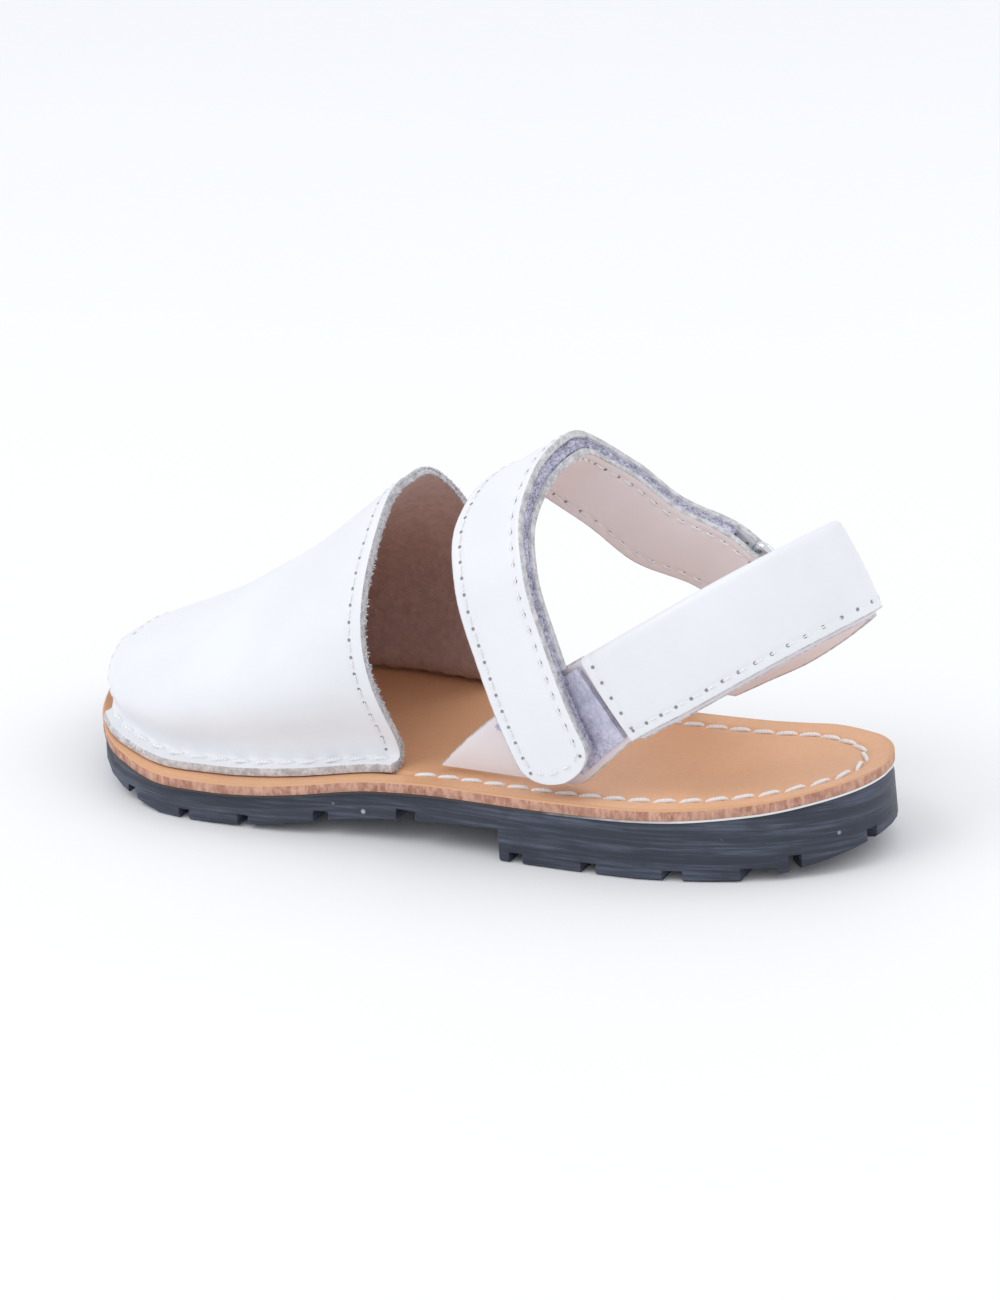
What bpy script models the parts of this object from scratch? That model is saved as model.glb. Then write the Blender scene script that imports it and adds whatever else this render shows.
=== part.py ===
"""A child's avarca sandal, left shoe: rubber sole, leather insole, peep-toe vamp, heel sling and ankle strap.

Sizes are in millimetres and are turned into metres when a mesh is made. X runs from heel to toe, Y to the
lateral side, Z up from the floor. The origin is on the floor under the middle of the heel. Tables hold shares
of the sizes named beside them.
"""

import math

import bmesh
import bpy
import numpy as np

# Driving dimensions, in millimetres.
LENGTH = 168.0
BALL_WIDTH = 68.0
HEEL_HEIGHT = 11.0
INSOLE_THICKNESS = 2.3
INSOLE_PROUD = 0.5
INSOLE_DISH = 0.8
INSOLE_BEVEL = 0.7
CLEARANCE = 0.3
RUBBER_FLARE = 0.9
BOTTOM_BEVEL = 0.5
SIDE_STEP_DEPTH = 0.5
SIDE_STEP_DROP = 2.7
LUG_DEPTH = 2.2
VAMP_WALL = 1.6
INSTEP_HEIGHT = 50.0
FLANGE_WIDTH = 2.6
FLANGE_MARGIN_LATERAL = 4.3
FLANGE_MARGIN_MEDIAL = 2.2
FOLD_RADIUS = 2.6
THROAT_LEAN = 6.5
TOE_REACH = 6.5
THROAT_AT = 91.8
TOE_EDGE_AT = 159.5
STRAP_FOOT_AT = 68.0
BAND_WIDTH = 18.3
BAND_RISE = 42.0
BAND_LEATHER = 1.4
LINING_LEATHER = 1.2
ANKLE_WIDTH = 15.5
ANKLE_RISE = 61.0
ANKLE_LEATHER = 1.4
TAPE_THICKNESS = 1.8
TAPE_INSET = 0.7
PATCH_THICKNESS = 1.1
RING_REACH = 6.5
RING_OVERLAP = 5.0
RING_TURN = 18.0
RING_SIDE_ROOM = 0.5
RING_LEAD = 3.0
TAB_LEATHER = 1.1
TAB_LENGTH = 8.5
TAB_INSET = 2.6

# The vamp's side bulge is sin(a) cos(a)^BULGE_FALL, scaled to a peak of 1 at about a quarter of the arch.
BULGE_FALL = 4
BULGE_SCALE = 3.5
# Powers of the arch's sides: the smaller, the flatter its top.
ARCH_ROUND_LATERAL = 0.85
ARCH_ROUND_MEDIAL = 0.70

# Where the flat rests lie, as shares of the length.
HEEL_REST_AT = 0.22
BREAST_AT = 0.40

# Resolution.
SOLE_STATIONS = 34
VAMP_STATIONS = 18
ARCH_STEPS = 18
STRIP_STEPS = 40
RING_SIDES = 8

# Half widths of the insole as shares of BALL_WIDTH. The bulge of the little toe is on the lateral side.
OUTLINE = (
    # along, lateral, medial
    (0.000, 0.022, -0.022),
    (0.015, 0.150, 0.105),
    (0.050, 0.240, 0.192),
    (0.120, 0.345, 0.262),
    (0.260, 0.435, 0.268),
    (0.400, 0.447, 0.288),
    (0.550, 0.447, 0.392),
    (0.700, 0.494, 0.508),
    (0.800, 0.498, 0.530),
    (0.900, 0.416, 0.490),
    (0.960, 0.262, 0.408),
    (0.990, 0.080, 0.262),
    (1.000, -0.058, 0.058),
)

# Height of the rubber's top as shares of HEEL_HEIGHT: the heel cups up, the waist is level, the toe springs.
SEAT = (
    # along, height
    (0.00, 1.46),
    (0.10, 1.20),
    (0.20, 1.06),
    (0.35, 1.00),
    (0.47, 0.99),
    (0.56, 0.90),
    (0.66, 0.70),
    (0.76, 0.565),
    (0.83, 0.560),
    (0.90, 0.690),
    (1.00, 1.060),
)

# Height of the rubber's underside as shares of HEEL_HEIGHT. The heel is level but for its bevelled rear.
HEEL_UNDERSIDE = (
    # along, height
    (0.00, 0.46),
    (0.04, 0.28),
    (0.08, 0.12),
    (0.14, 0.00),
    (0.40, 0.00),
)
FRONT_UNDERSIDE = (
    # along, height
    (0.40, 0.56),
    (0.48, 0.51),
    (0.56, 0.40),
    (0.66, 0.19),
    (0.72, 0.05),
    (0.76, 0.00),
    (0.83, 0.00),
    (0.90, 0.165),
    (1.00, 0.570),
)

# Lug grooves across the sole: place as a share of LENGTH and width in millimetres.
GROOVES = (
    # along, width
    (0.881, 2.8),
    (0.799, 2.4),
    (0.721, 2.4),
    (0.624, 3.0),
    (0.518, 4.2),
    (0.380, 2.8),
    (0.292, 3.1),
    (0.196, 3.8),
    (0.106, 6.2),
)
# Grooves round the rear of the heel: degrees from straight back, and width in millimetres.
REAR_GROOVES = (
    # angle, width
    (-52.0, 2.4),
    (-17.0, 2.6),
    (20.0, 2.6),
    (58.0, 2.4),
)

# Sections of the vamp from its throat to its toe edge. Crest is a share of INSTEP_HEIGHT, bulges of
# BALL_WIDTH, margin of the two flange margins.
VAMP_SECTIONS = (
    # part, crest, lateral_bulge, medial_bulge, margin
    (0.00, 1.000, 0.132, 0.085, 1.00),
    (0.10, 0.910, 0.125, 0.082, 1.00),
    (0.23, 0.786, 0.112, 0.078, 1.00),
    (0.40, 0.645, 0.098, 0.070, 1.00),
    (0.60, 0.480, 0.080, 0.060, 0.90),
    (0.86, 0.255, 0.050, 0.045, 0.50),
    (1.00, 0.125, 0.025, 0.020, 0.15),
)

# Middle line of the heel sling from its lateral foot round the heel to its medial foot. Along is a share of
# LENGTH, aside of BALL_WIDTH, above of BAND_RISE over the insole, wide of BAND_WIDTH. Slant is the angle of
# the band's width above the X axis, in degrees.
BAND_PATH = (
    # along, aside, above, slant, wide
    (0.408, 0.315, 0.012, 0.0, 1.560),
    (0.348, 0.330, 0.225, 27.0, 1.180),
    (0.283, 0.338, 0.440, 54.0, 1.000),
    (0.202, 0.322, 0.655, 57.0, 1.000),
    (0.115, 0.235, 0.868, 60.0, 1.000),
    (0.062, 0.125, 0.975, 63.0, 1.000),
    (0.047, 0.030, 0.985, 64.0, 1.000),
    (0.062, -0.070, 0.910, 62.0, 1.000),
    (0.108, -0.145, 0.740, 57.0, 1.000),
    (0.168, -0.200, 0.550, 54.0, 1.000),
    (0.232, -0.238, 0.380, 52.0, 0.960),
    (0.292, -0.242, 0.190, 40.0, 0.830),
    (0.331, -0.228, 0.012, 0.0, 0.760),
)
# Where the outer leather starts and ends, and where the ring's tab sits, as shares of the band's path.
BAND_FRONT_LATERAL = 0.198
BAND_FRONT_MEDIAL = 0.905
TAB_AT = 0.800

# Middle line of the ankle strap from its lateral end over the instep towards the ring. Along is a share of
# LENGTH, aside of BALL_WIDTH, above of ANKLE_RISE over the insole. Slant is the fall of its width towards +X.
ANKLE_PATH = (
    # along, aside, above, slant
    (0.318, 0.358, 0.070, 26.0),
    (0.344, 0.364, 0.225, 25.0),
    (0.376, 0.352, 0.450, 23.0),
    (0.404, 0.312, 0.640, 20.0),
    (0.421, 0.215, 0.764, 22.0),
    (0.414, 0.120, 0.847, 27.0),
    (0.402, 0.015, 0.876, 32.0),
    (0.404, -0.085, 0.843, 35.0),
    (0.401, -0.168, 0.784, 39.0),
    (0.369, -0.210, 0.710, 46.0),
    (0.329, -0.250, 0.604, 51.0),
)
# Where the inner run starts, above the patch, as a share of the strap's path.
INNER_RUN_FROM = 0.170
TAPE_TO = 0.955
TIP_LENGTH = 6.0

# The patch on the sling's lining, as shares of the band's path.
PATCH_FROM = 0.070
PATCH_TO = 0.188
PATCH_WIDE = 0.86

# Shares of LENGTH: the run of the heel's breast, the fade of the side's step, and the heel's radial grooves.
BREAST_RUN = 0.002
SIDE_STEP_FADE = 0.08
REAR_GROOVE_CENTRE = 0.16
REAR_GROOVE_RADIUS = 0.12
REAR_GROOVE_BACK = 0.06
REAR_GROOVE_REACH = 0.13

# The step along the rubber's side: its least height over the bevel, its round under-edge, and the share of
# its depth that is left at the rubber's top.
SIDE_STEP_LEAST = 0.6
SIDE_STEP_ROUND = 0.5
SIDE_STEP_AT_TOP = 0.6

INSOLE_UNDERCUT = 0.2

# Powers that shape the vamp's crown and the curve of its toe edge, and the turns of its flange's fold.
CREST_POWER = 0.92
TOE_CURVE = 0.8
FOLD_TURNS = (0.0, 0.35, 0.7)

TO_METRES = 0.001

MATERIALS = {
    # base colour, roughness, metallic
    "rubber": ((0.014, 0.016, 0.022), 0.62, 0.0),
    "insole_leather": ((0.72, 0.42, 0.22), 0.48, 0.0),
    "white_leather": ((0.82, 0.82, 0.84), 0.42, 0.0),
    "lining": ((0.66, 0.58, 0.58), 0.60, 0.0),
    "tape": ((0.50, 0.50, 0.60), 0.95, 0.0),
    "steel": ((0.66, 0.67, 0.69), 0.22, 1.0),
}


def smooth(table, column, at):
    """Reads a column of a table at places in its first column, along a curve with no overshoot."""
    x = np.array([row[0] for row in table], float)
    y = np.array([row[column] for row in table], float)
    slopes = np.diff(y) / np.diff(x)
    tangents = np.zeros_like(y)
    tangents[0], tangents[-1] = slopes[0], slopes[-1]
    same_way = slopes[:-1] * slopes[1:] > 0
    tangents[1:-1] = np.where(
        same_way, 2 * slopes[:-1] * slopes[1:] / np.where(same_way, slopes[:-1] + slopes[1:], 1), 0
    )
    at = np.clip(np.asarray(at, float), x[0], x[-1])
    i = np.clip(np.searchsorted(x, at, side="right") - 1, 0, len(x) - 2)
    step = x[i + 1] - x[i]
    t = (at - x[i]) / step
    return (
        y[i] * (1 + 2 * t) * (1 - t) ** 2
        + tangents[i] * step * t * (1 - t) ** 2
        + y[i + 1] * t**2 * (3 - 2 * t)
        - tangents[i + 1] * step * t**2 * (1 - t)
    )


def around(share):
    """Turns a share of the length into an angle, so that the round ends are smooth."""
    return np.arccos(1 - 2 * np.clip(share, 0, 1)) / np.pi


OUTLINE_BY_ANGLE = tuple((float(around(row[0])), row[1], row[2]) for row in OUTLINE)


def half_width(x, side):
    """Distance of the insole's edge from the X axis at x; side is 1 for lateral, -1 for medial."""
    column = 1 if side > 0 else 2
    return BALL_WIDTH * smooth(OUTLINE_BY_ANGLE, column, around(np.asarray(x) / LENGTH))


def seat(x):
    """Height of the rubber's top at x."""
    return HEEL_HEIGHT * smooth(SEAT, 1, np.asarray(x) / LENGTH)


def underside(x):
    """Height of the rubber's underside at x, with the step of the heel's breast."""
    share = np.asarray(x, float) / LENGTH
    heel = smooth(HEEL_UNDERSIDE, 1, share)
    front = smooth(FRONT_UNDERSIDE, 1, share)
    return HEEL_HEIGHT * np.where(share <= BREAST_AT, heel, front)


def insole_top(x, y):
    """Height of the insole's dished top."""
    lateral, medial = half_width(x, 1), half_width(x, -1)
    middle, half = (lateral - medial) / 2, np.maximum((lateral + medial) / 2, 1e-6)
    dish = INSOLE_DISH * np.clip(1 - ((y - middle) / half) ** 2, 0, 1)
    return seat(x) + CLEARANCE + INSOLE_THICKNESS - dish


def bench():
    """Height that the straps rise from: the insole's edge at their feet."""
    return float(seat(STRAP_FOOT_AT)) + CLEARANCE + INSOLE_THICKNESS


def make_object(name, points, faces, material, sharp=40.0):
    """Makes a mesh object from points in millimetres and faces, with its own material."""
    mesh = bpy.data.meshes.new(name)
    origin = np.array([HEEL_REST_AT * LENGTH, 0, 0])
    mesh.from_pydata(((np.asarray(points) - origin) * TO_METRES).tolist(), [], faces)
    shape = bmesh.new()
    shape.from_mesh(mesh)
    bmesh.ops.recalc_face_normals(shape, faces=shape.faces)
    shape.to_mesh(mesh)
    shape.free()
    mesh.shade_smooth()
    mesh.set_sharp_from_angle(angle=math.radians(sharp))
    obj = bpy.data.objects.new(name, mesh)
    bpy.context.scene.collection.objects.link(obj)
    mesh.materials.append(make_material(name, *MATERIALS[material]))
    return obj


def make_material(name, colour, roughness, metallic):
    """A Principled material for one sub-part."""
    material = bpy.data.materials.new(name)
    material.use_nodes = True
    shader = material.node_tree.nodes["Principled BSDF"]
    shader.inputs["Base Color"].default_value = (*colour, 1.0)
    shader.inputs["Roughness"].default_value = roughness
    shader.inputs["Metallic"].default_value = metallic
    return material


def ring_faces(rings, size, closed):
    """Quads between rings of the same size, listed one after another."""
    last = rings if closed else rings - 1
    faces = []
    for i in range(last):
        near, far = i * size, (i + 1) % rings * size
        faces += [(near + j, near + (j + 1) % size, far + (j + 1) % size, far + j) for j in range(size)]
    return faces


def sole_stations():
    """Places along the sole, closer at its round ends, with a pair at the heel's breast."""
    share = (1 - np.cos(np.linspace(0, np.pi, SOLE_STATIONS + 1))) / 2
    share[np.argmin(abs(share - BREAST_AT))] = BREAST_AT
    return np.sort(np.append(share, BREAST_AT + BREAST_RUN)) * LENGTH


def outline_ring(xs, inset, height):
    """A closed ring round the sole, moved in by inset along its own normals. height gives Z at each x."""
    lateral = np.stack([xs, half_width(xs, 1)], 1)
    medial = np.stack([xs[-2:0:-1], -half_width(xs[-2:0:-1], -1)], 1)
    loop = np.concatenate([lateral, medial])
    along = np.roll(loop, -1, 0) - np.roll(loop, 1, 0)
    normal = np.stack([-along[:, 1], along[:, 0]], 1)
    normal /= np.linalg.norm(normal, axis=1, keepdims=True)
    inset = np.interp(loop[:, 0], xs, np.broadcast_to(inset, xs.shape))
    moved = loop - normal * inset[:, None]
    return np.column_stack([moved, np.interp(loop[:, 0], xs, np.broadcast_to(height, xs.shape))])


def capped(xs, rings, dish=0.0):
    """Joins rings round the sole from bottom to top and closes both ends with strips across."""
    points = [point for ring in rings for point in ring]
    size = len(rings[0])
    faces = ring_faces(len(rings), size, closed=False)
    across = (0.25, 0.5, 0.75)
    for ring, first, sink in ((rings[0], 0, 0.0), (rings[-1], (len(rings) - 1) * size, dish)):
        rows = []
        for i in range(1, len(xs) - 1):
            a, b = first + i, first + size - i
            row = [a]
            for part in across:
                point = (1 - part) * np.asarray(ring[i]) + part * np.asarray(ring[size - i])
                point[2] -= sink * 4 * part * (1 - part)
                points.append(point)
                row.append(len(points) - 1)
            rows.append(row + [b])
        heel, toe = first, first + len(xs) - 1
        for end, row in ((heel, rows[0]), (toe, rows[-1])):
            faces += [(end, row[j], row[j + 1]) for j in range(len(row) - 1)]
        for near, far in zip(rows, rows[1:]):
            faces += [(near[j], near[j + 1], far[j + 1], far[j]) for j in range(len(near) - 1)]
    return points, faces


def side_step(xs):
    """Depth of the step along the rubber's side: full at the forefoot, fading out at the heel's breast."""
    return SIDE_STEP_DEPTH * np.clip((xs / LENGTH - BREAST_AT) / SIDE_STEP_FADE, 0, 1)


def make_cutter():
    """One mesh of boxes that leave the lug grooves: across the sole, and radial round the heel's rear."""
    shape = bmesh.new()
    reach = BALL_WIDTH

    def add_box(x, y, angle, width, length, top):
        box = bmesh.ops.create_cube(shape, size=1.0)["verts"]
        for vert in box:
            dx, dy = vert.co.x * width, vert.co.y * length
            z = top if vert.co.z > 0 else -LUG_DEPTH
            vert.co = (
                (x - HEEL_REST_AT * LENGTH + dx * math.cos(angle) - dy * math.sin(angle)) * TO_METRES,
                (y + dx * math.sin(angle) + dy * math.cos(angle)) * TO_METRES,
                z * TO_METRES,
            )

    for along, width in GROOVES:
        x = along * LENGTH
        add_box(x, 0.0, 0.0, width, 2 * reach, float(underside(x)) + LUG_DEPTH)
    centre = REAR_GROOVE_CENTRE * LENGTH
    radius = REAR_GROOVE_RADIUS * LENGTH
    for degrees, width in REAR_GROOVES:
        angle = math.radians(180 + degrees)
        x, y = centre + radius * math.cos(angle), radius * math.sin(angle)
        rear = max(x - REAR_GROOVE_BACK * LENGTH * abs(math.cos(angle)), 0.0)
        top = float(underside(rear)) + LUG_DEPTH
        add_box(x, y, angle + math.pi / 2, width, REAR_GROOVE_REACH * LENGTH, top)
    mesh = bpy.data.meshes.new("lug_cutter")
    shape.to_mesh(mesh)
    shape.free()
    cutter = bpy.data.objects.new("lug_cutter", mesh)
    bpy.context.scene.collection.objects.link(cutter)
    cutter.hide_render = True
    cutter.display_type = "WIRE"
    return cutter


def make_outsole():
    """Rubber sole with heel block, waist, toe spring, a step along its side and lug grooves."""
    xs = sole_stations()
    top, bottom = seat(xs), underside(xs)
    step_z = np.maximum(top - SIDE_STEP_DROP, bottom + BOTTOM_BEVEL + SIDE_STEP_LEAST)
    step = side_step(xs)
    flare = RUBBER_FLARE * (top - bottom) / HEEL_HEIGHT
    rings = [
        outline_ring(xs, INSOLE_PROUD - flare + BOTTOM_BEVEL, bottom),
        outline_ring(xs, INSOLE_PROUD - flare, bottom + BOTTOM_BEVEL),
        outline_ring(xs, INSOLE_PROUD - flare / 2, step_z - SIDE_STEP_ROUND),
        outline_ring(xs, INSOLE_PROUD - flare / 2 + step, step_z),
        outline_ring(xs, INSOLE_PROUD + step * SIDE_STEP_AT_TOP, top),
    ]
    points, faces = capped(xs, rings)
    outsole = make_object("outsole", points, faces, "rubber")
    cut = outsole.modifiers.new("lugs", "BOOLEAN")
    cut.operation = "DIFFERENCE"
    cut.use_self = True
    cut.object = make_cutter()


def make_insole():
    """Leather insole with a dished top and a small bevel round its upper edge."""
    xs = sole_stations()
    bottom = seat(xs) + CLEARANCE
    top = bottom + INSOLE_THICKNESS
    rings = [
        outline_ring(xs, INSOLE_UNDERCUT, bottom),
        outline_ring(xs, 0.0, bottom + INSOLE_THICKNESS / 2),
        outline_ring(xs, 0.0, top - INSOLE_BEVEL),
        outline_ring(xs, INSOLE_BEVEL, top),
    ]
    points, faces = capped(xs, rings, dish=INSOLE_DISH)
    make_object("insole", points, faces, "insole_leather")


def arch_point(angle, x, part):
    """A point of the vamp's middle surface: angle 0 is the lateral base, pi the medial base."""
    side = 1 if angle <= math.pi / 2 else -1
    margin = FLANGE_MARGIN_LATERAL if side > 0 else FLANGE_MARGIN_MEDIAL
    margin *= float(smooth(VAMP_SECTIONS, 4, part))
    base = max(float(half_width(x, side)) - margin - FLANGE_WIDTH - FOLD_RADIUS, 1.0)
    bulge = BALL_WIDTH * float(smooth(VAMP_SECTIONS, 2 if side > 0 else 3, part))
    crest = INSTEP_HEIGHT * float(smooth(VAMP_SECTIONS, 1, part))
    across = abs(math.cos(angle))
    round_top = ARCH_ROUND_LATERAL if side > 0 else ARCH_ROUND_MEDIAL
    out = base * across**round_top + bulge * BULGE_SCALE * math.sin(angle) * across**BULGE_FALL
    return side * out, crest * math.sin(angle) ** CREST_POWER


def vamp_section(part):
    """The vamp's middle line at one part of the way from throat to toe edge, from flange to flange."""

    def place(lift):
        throat = THROAT_AT + THROAT_LEAN * lift
        toe = TOE_EDGE_AT + TOE_REACH * lift**TOE_CURVE
        return throat + (toe - throat) * part

    line = []
    base_x = place(0.0)
    floor = CLEARANCE + VAMP_WALL / 2
    angles = np.linspace(0, math.pi, ARCH_STEPS + 1)
    for angle in angles:
        x = place(math.sin(angle))
        y, rise = arch_point(angle, x if 0 < angle < math.pi else base_x, part)
        z = float(insole_top(x, np.array(y))) + floor + rise
        line.append((x, y, z))
    return add_flange(line, base_x, floor)


def add_flange(line, base_x, floor):
    """Adds the turned-out flange and its soft fold at both ends of a section's middle line."""
    full = []
    for side, end in ((1, line[0]), (-1, line[-1])):
        piece = []
        edge = end[1] + side * (FOLD_RADIUS + FLANGE_WIDTH)
        piece.append((base_x, edge, float(insole_top(base_x, np.array(edge))) + floor))
        for turn in FOLD_TURNS:
            angle = turn * math.pi / 2
            y = end[1] + side * FOLD_RADIUS * (1 - math.sin(angle))
            z = float(insole_top(base_x, np.array(y))) + floor + FOLD_RADIUS * (1 - math.cos(angle))
            piece.append((base_x, y, z))
        full.append(piece)
    lifts = [FOLD_RADIUS * abs(math.cos(math.pi * i / ARCH_STEPS)) for i in range(len(line))]
    lifted = [(x, y, z + lift) for (x, y, z), lift in zip(line, lifts)]
    return np.array(full[0] + lifted + full[1][::-1])


def thicken(sections, wall):
    """A closed solid from a grid of middle-surface points: each point moves half the wall both ways."""
    grid = np.asarray(sections)
    along = np.gradient(grid, axis=0)
    across = np.gradient(grid, axis=1)
    normal = np.cross(across, along)
    normal /= np.linalg.norm(normal, axis=2, keepdims=True)
    rows, columns = grid.shape[:2]
    outer, inner = grid + normal * wall / 2, grid - normal * wall / 2
    rings = np.concatenate([outer, inner[:, ::-1]], axis=1)
    size = 2 * columns
    faces = ring_faces(rows, size, closed=False)
    for first in (0, (rows - 1) * size):
        faces += [
            (first + j, first + j + 1, first + size - 2 - j, first + size - 1 - j) for j in range(columns - 1)
        ]
    return rings.reshape(-1, 3), faces


def make_vamp():
    """One piece of leather over the forefoot, open at throat, toe and underneath."""
    parts = np.linspace(0, 1, VAMP_STATIONS + 1)
    points, faces = thicken([vamp_section(part) for part in parts], VAMP_WALL)
    make_object("vamp", points, faces, "white_leather")


class Path:
    """A strap's middle line with the direction of its width, read by shares of its length."""

    def __init__(self, points, widths, half):
        points, widths, half = np.asarray(points, float), np.asarray(widths, float), np.asarray(half, float)
        rows = np.concatenate([[0], np.cumsum(np.linalg.norm(np.diff(points, axis=0), axis=1))])
        columns = np.column_stack([rows / rows[-1], points, widths, half])
        self.table = [tuple(row) for row in columns]
        self.length = float(rows[-1])

    def at(self, shares):
        """Points, unit width directions, half widths and outward normals at shares of the path."""
        shares = np.asarray(shares, float)
        values = np.stack([catmull(self.table, column, shares) for column in range(1, 8)], 1)
        near = 1e-3
        ahead = np.stack([catmull(self.table, c, np.minimum(shares + near, 1)) for c in (1, 2, 3)], 1)
        behind = np.stack([catmull(self.table, c, np.maximum(shares - near, 0)) for c in (1, 2, 3)], 1)
        forward = ahead - behind
        width = values[:, 3:6] / np.linalg.norm(values[:, 3:6], axis=1, keepdims=True)
        normal = np.cross(forward, width)
        normal /= np.linalg.norm(normal, axis=1, keepdims=True)
        return values[:, :3], width, values[:, 6], normal


def catmull(table, column, at):
    """Reads a column along a smooth curve that passes through each row."""
    x = np.array([row[0] for row in table])
    y = np.array([row[column] for row in table])
    slopes = np.diff(y) / np.diff(x)
    spans = np.diff(x)
    tangents = np.empty_like(y)
    tangents[0], tangents[-1] = slopes[0], slopes[-1]
    tangents[1:-1] = (slopes[:-1] * spans[1:] + slopes[1:] * spans[:-1]) / (spans[1:] + spans[:-1])
    i = np.clip(np.searchsorted(x, at, side="right") - 1, 0, len(x) - 2)
    step = x[i + 1] - x[i]
    t = (at - x[i]) / step
    return (
        y[i] * (1 + 2 * t) * (1 - t) ** 2
        + tangents[i] * step * t * (1 - t) ** 2
        + y[i + 1] * t**2 * (3 - 2 * t)
        - tangents[i + 1] * step * t**2 * (1 - t)
    )


def slanted(degrees, rising):
    """A unit vector in the XZ plane at so many degrees above or below the X axis."""
    angle = math.radians(degrees)
    return (math.cos(angle), 0.0, math.sin(angle) if rising else -math.sin(angle))


def band_path():
    """The heel sling's inner face."""
    points = [
        (along * LENGTH, aside * BALL_WIDTH, bench() + CLEARANCE + above * BAND_RISE)
        for along, aside, above, _, _ in BAND_PATH
    ]
    widths = [slanted(slant, True) for _, _, _, slant, _ in BAND_PATH]
    half = [BAND_WIDTH / 2 * wide for *_, wide in BAND_PATH]
    return Path(points, widths, half)


def ring_frame(band):
    """Centre of the ring's upper bar, the bars' direction, the way to the strap, and the band's normal."""
    centre, width, half, normal = (value[0] for value in band.at([TAB_AT]))
    across = np.cross(width, normal)
    across *= np.sign(across[0])
    turn = math.radians(RING_TURN)
    direction = across * math.cos(turn) - width * math.sin(turn)
    up = width * math.cos(turn) + across * math.sin(turn)
    outside = LINING_LEATHER + 2 * CLEARANCE + BAND_LEATHER + TAB_LEATHER + CLEARANCE + TAPE_THICKNESS / 2
    upper = centre + width * (half + RING_REACH - RING_OVERLAP) + normal * outside
    return upper, direction, up, normal


def ankle_path(band):
    """The ankle strap's inner face, ending where it turns round the ring's upper bar."""
    points = [
        (along * LENGTH, aside * BALL_WIDTH, bench() + above * ANKLE_RISE)
        for along, aside, above, _ in ANKLE_PATH
    ]
    widths = [slanted(slant, False) for *_, slant in ANKLE_PATH]
    upper, direction, up, normal = ring_frame(band)
    end = upper - normal * (ANKLE_LEATHER + CLEARANCE + TAPE_THICKNESS / 2)
    points += [tuple(end + up * RING_LEAD), tuple(end)]
    widths += [tuple(direction)] * 2
    return Path(points, widths, [ANKLE_WIDTH / 2] * len(points))


def strip_solid(inner, outer, width, half):
    """A closed strip from its two faces' middle lines, its width directions and its half widths."""
    half = np.asarray(half)[:, None]
    corners = np.stack(
        [inner - width * half, inner + width * half, outer + width * half, outer - width * half], axis=1
    )
    count = len(corners)
    faces = ring_faces(count, 4, closed=False)
    faces += [(0, 1, 2, 3), tuple(4 * (count - 1) + j for j in range(4))]
    return corners.reshape(-1, 3), faces


def layer(path, start, end, offset, thickness, inset=0.0, steps=STRIP_STEPS, taper=1.0):
    """A strip between two shares of a path, lying offset outside it."""
    centre, width, half, normal = path.at(np.linspace(start, end, steps + 1))
    inner, outer = centre + normal * offset, centre + normal * (offset + thickness)
    return strip_solid(inner, outer, width, (half - inset) * taper)


def make_sling(band):
    """The sling's inner strip from foot to foot, and its outer leather between the two front lines."""
    points, faces = layer(band, 0.0, 1.0, 0.0, LINING_LEATHER)
    make_object("heel_lining", points, faces, "lining")
    outside = LINING_LEATHER + CLEARANCE
    points, faces = layer(band, BAND_FRONT_LATERAL, BAND_FRONT_MEDIAL, outside, BAND_LEATHER)
    make_object("heel_band", points, faces, "white_leather")


def make_patch(band):
    """The fuzzy patch under the strap's tip."""
    outside = LINING_LEATHER + CLEARANCE
    points, faces = layer(band, PATCH_FROM, PATCH_TO, outside, PATCH_THICKNESS, steps=8, taper=PATCH_WIDE)
    make_object("loop_patch", points, faces, "tape")


def make_ankle_strap(ankle):
    """One leather strap: over the instep, round the ring's bar and back over itself to a rounded tip."""
    gap = CLEARANCE * 2 + TAPE_THICKNESS
    total = 2 * ANKLE_LEATHER + gap
    out = ankle.at(np.linspace(INNER_RUN_FROM, 1.0, STRIP_STEPS + 1))
    centre, width, half, normal = out
    inner = [centre, width, half, centre + normal * ANKLE_LEATHER]
    end, end_width, _, end_normal = (value[-1] for value in out)
    forward = np.cross(end_width, end_normal)
    pivot = end + end_normal * total / 2
    turned = []
    for angle in np.linspace(0, math.pi, 8)[1:-1]:
        away = -end_normal * math.cos(angle) - forward * math.sin(angle) * np.sign(
            np.dot(forward, centre[-2] - centre[-1])
        )
        turned.append((pivot + away * total / 2, pivot + away * gap / 2))
    back_shares = tip_shares(ankle)
    back, back_width, back_half, back_normal = ankle.at(back_shares)
    from_tip = back_shares * ankle.length / TIP_LENGTH
    rounding = np.sqrt(np.clip(1 - (1 - np.clip(from_tip, 0.02, 1)) ** 2, 0, 1))
    one = np.concatenate([inner[0], [a for a, _ in turned], back + back_normal * total])
    other = np.concatenate([inner[3], [b for _, b in turned], back + back_normal * (total - ANKLE_LEATHER)])
    widths = np.concatenate([width, [end_width] * len(turned), back_width])
    halves = np.concatenate([half, [half[-1]] * len(turned), back_half * rounding])
    points, faces = strip_solid(one, other, widths, halves)
    make_object("ankle_strap", points, faces, "white_leather")
    tape_from = 0.5 * TIP_LENGTH / ankle.length
    points, faces = layer(
        ankle, tape_from, TAPE_TO, ANKLE_LEATHER + CLEARANCE, TAPE_THICKNESS, inset=TAPE_INSET
    )
    make_object("strap_tape", points, faces, "tape")


def tip_shares(ankle):
    """Shares of the strap's path from the ring back to the tip, closer together at the rounded tip."""
    tip = TIP_LENGTH / ankle.length
    straight = np.linspace(1.0, tip, STRIP_STEPS + 1)
    rounded = tip * (1 - np.sin(np.linspace(0, np.pi / 2, 8)[1:]))
    return np.concatenate([straight, rounded])


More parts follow.
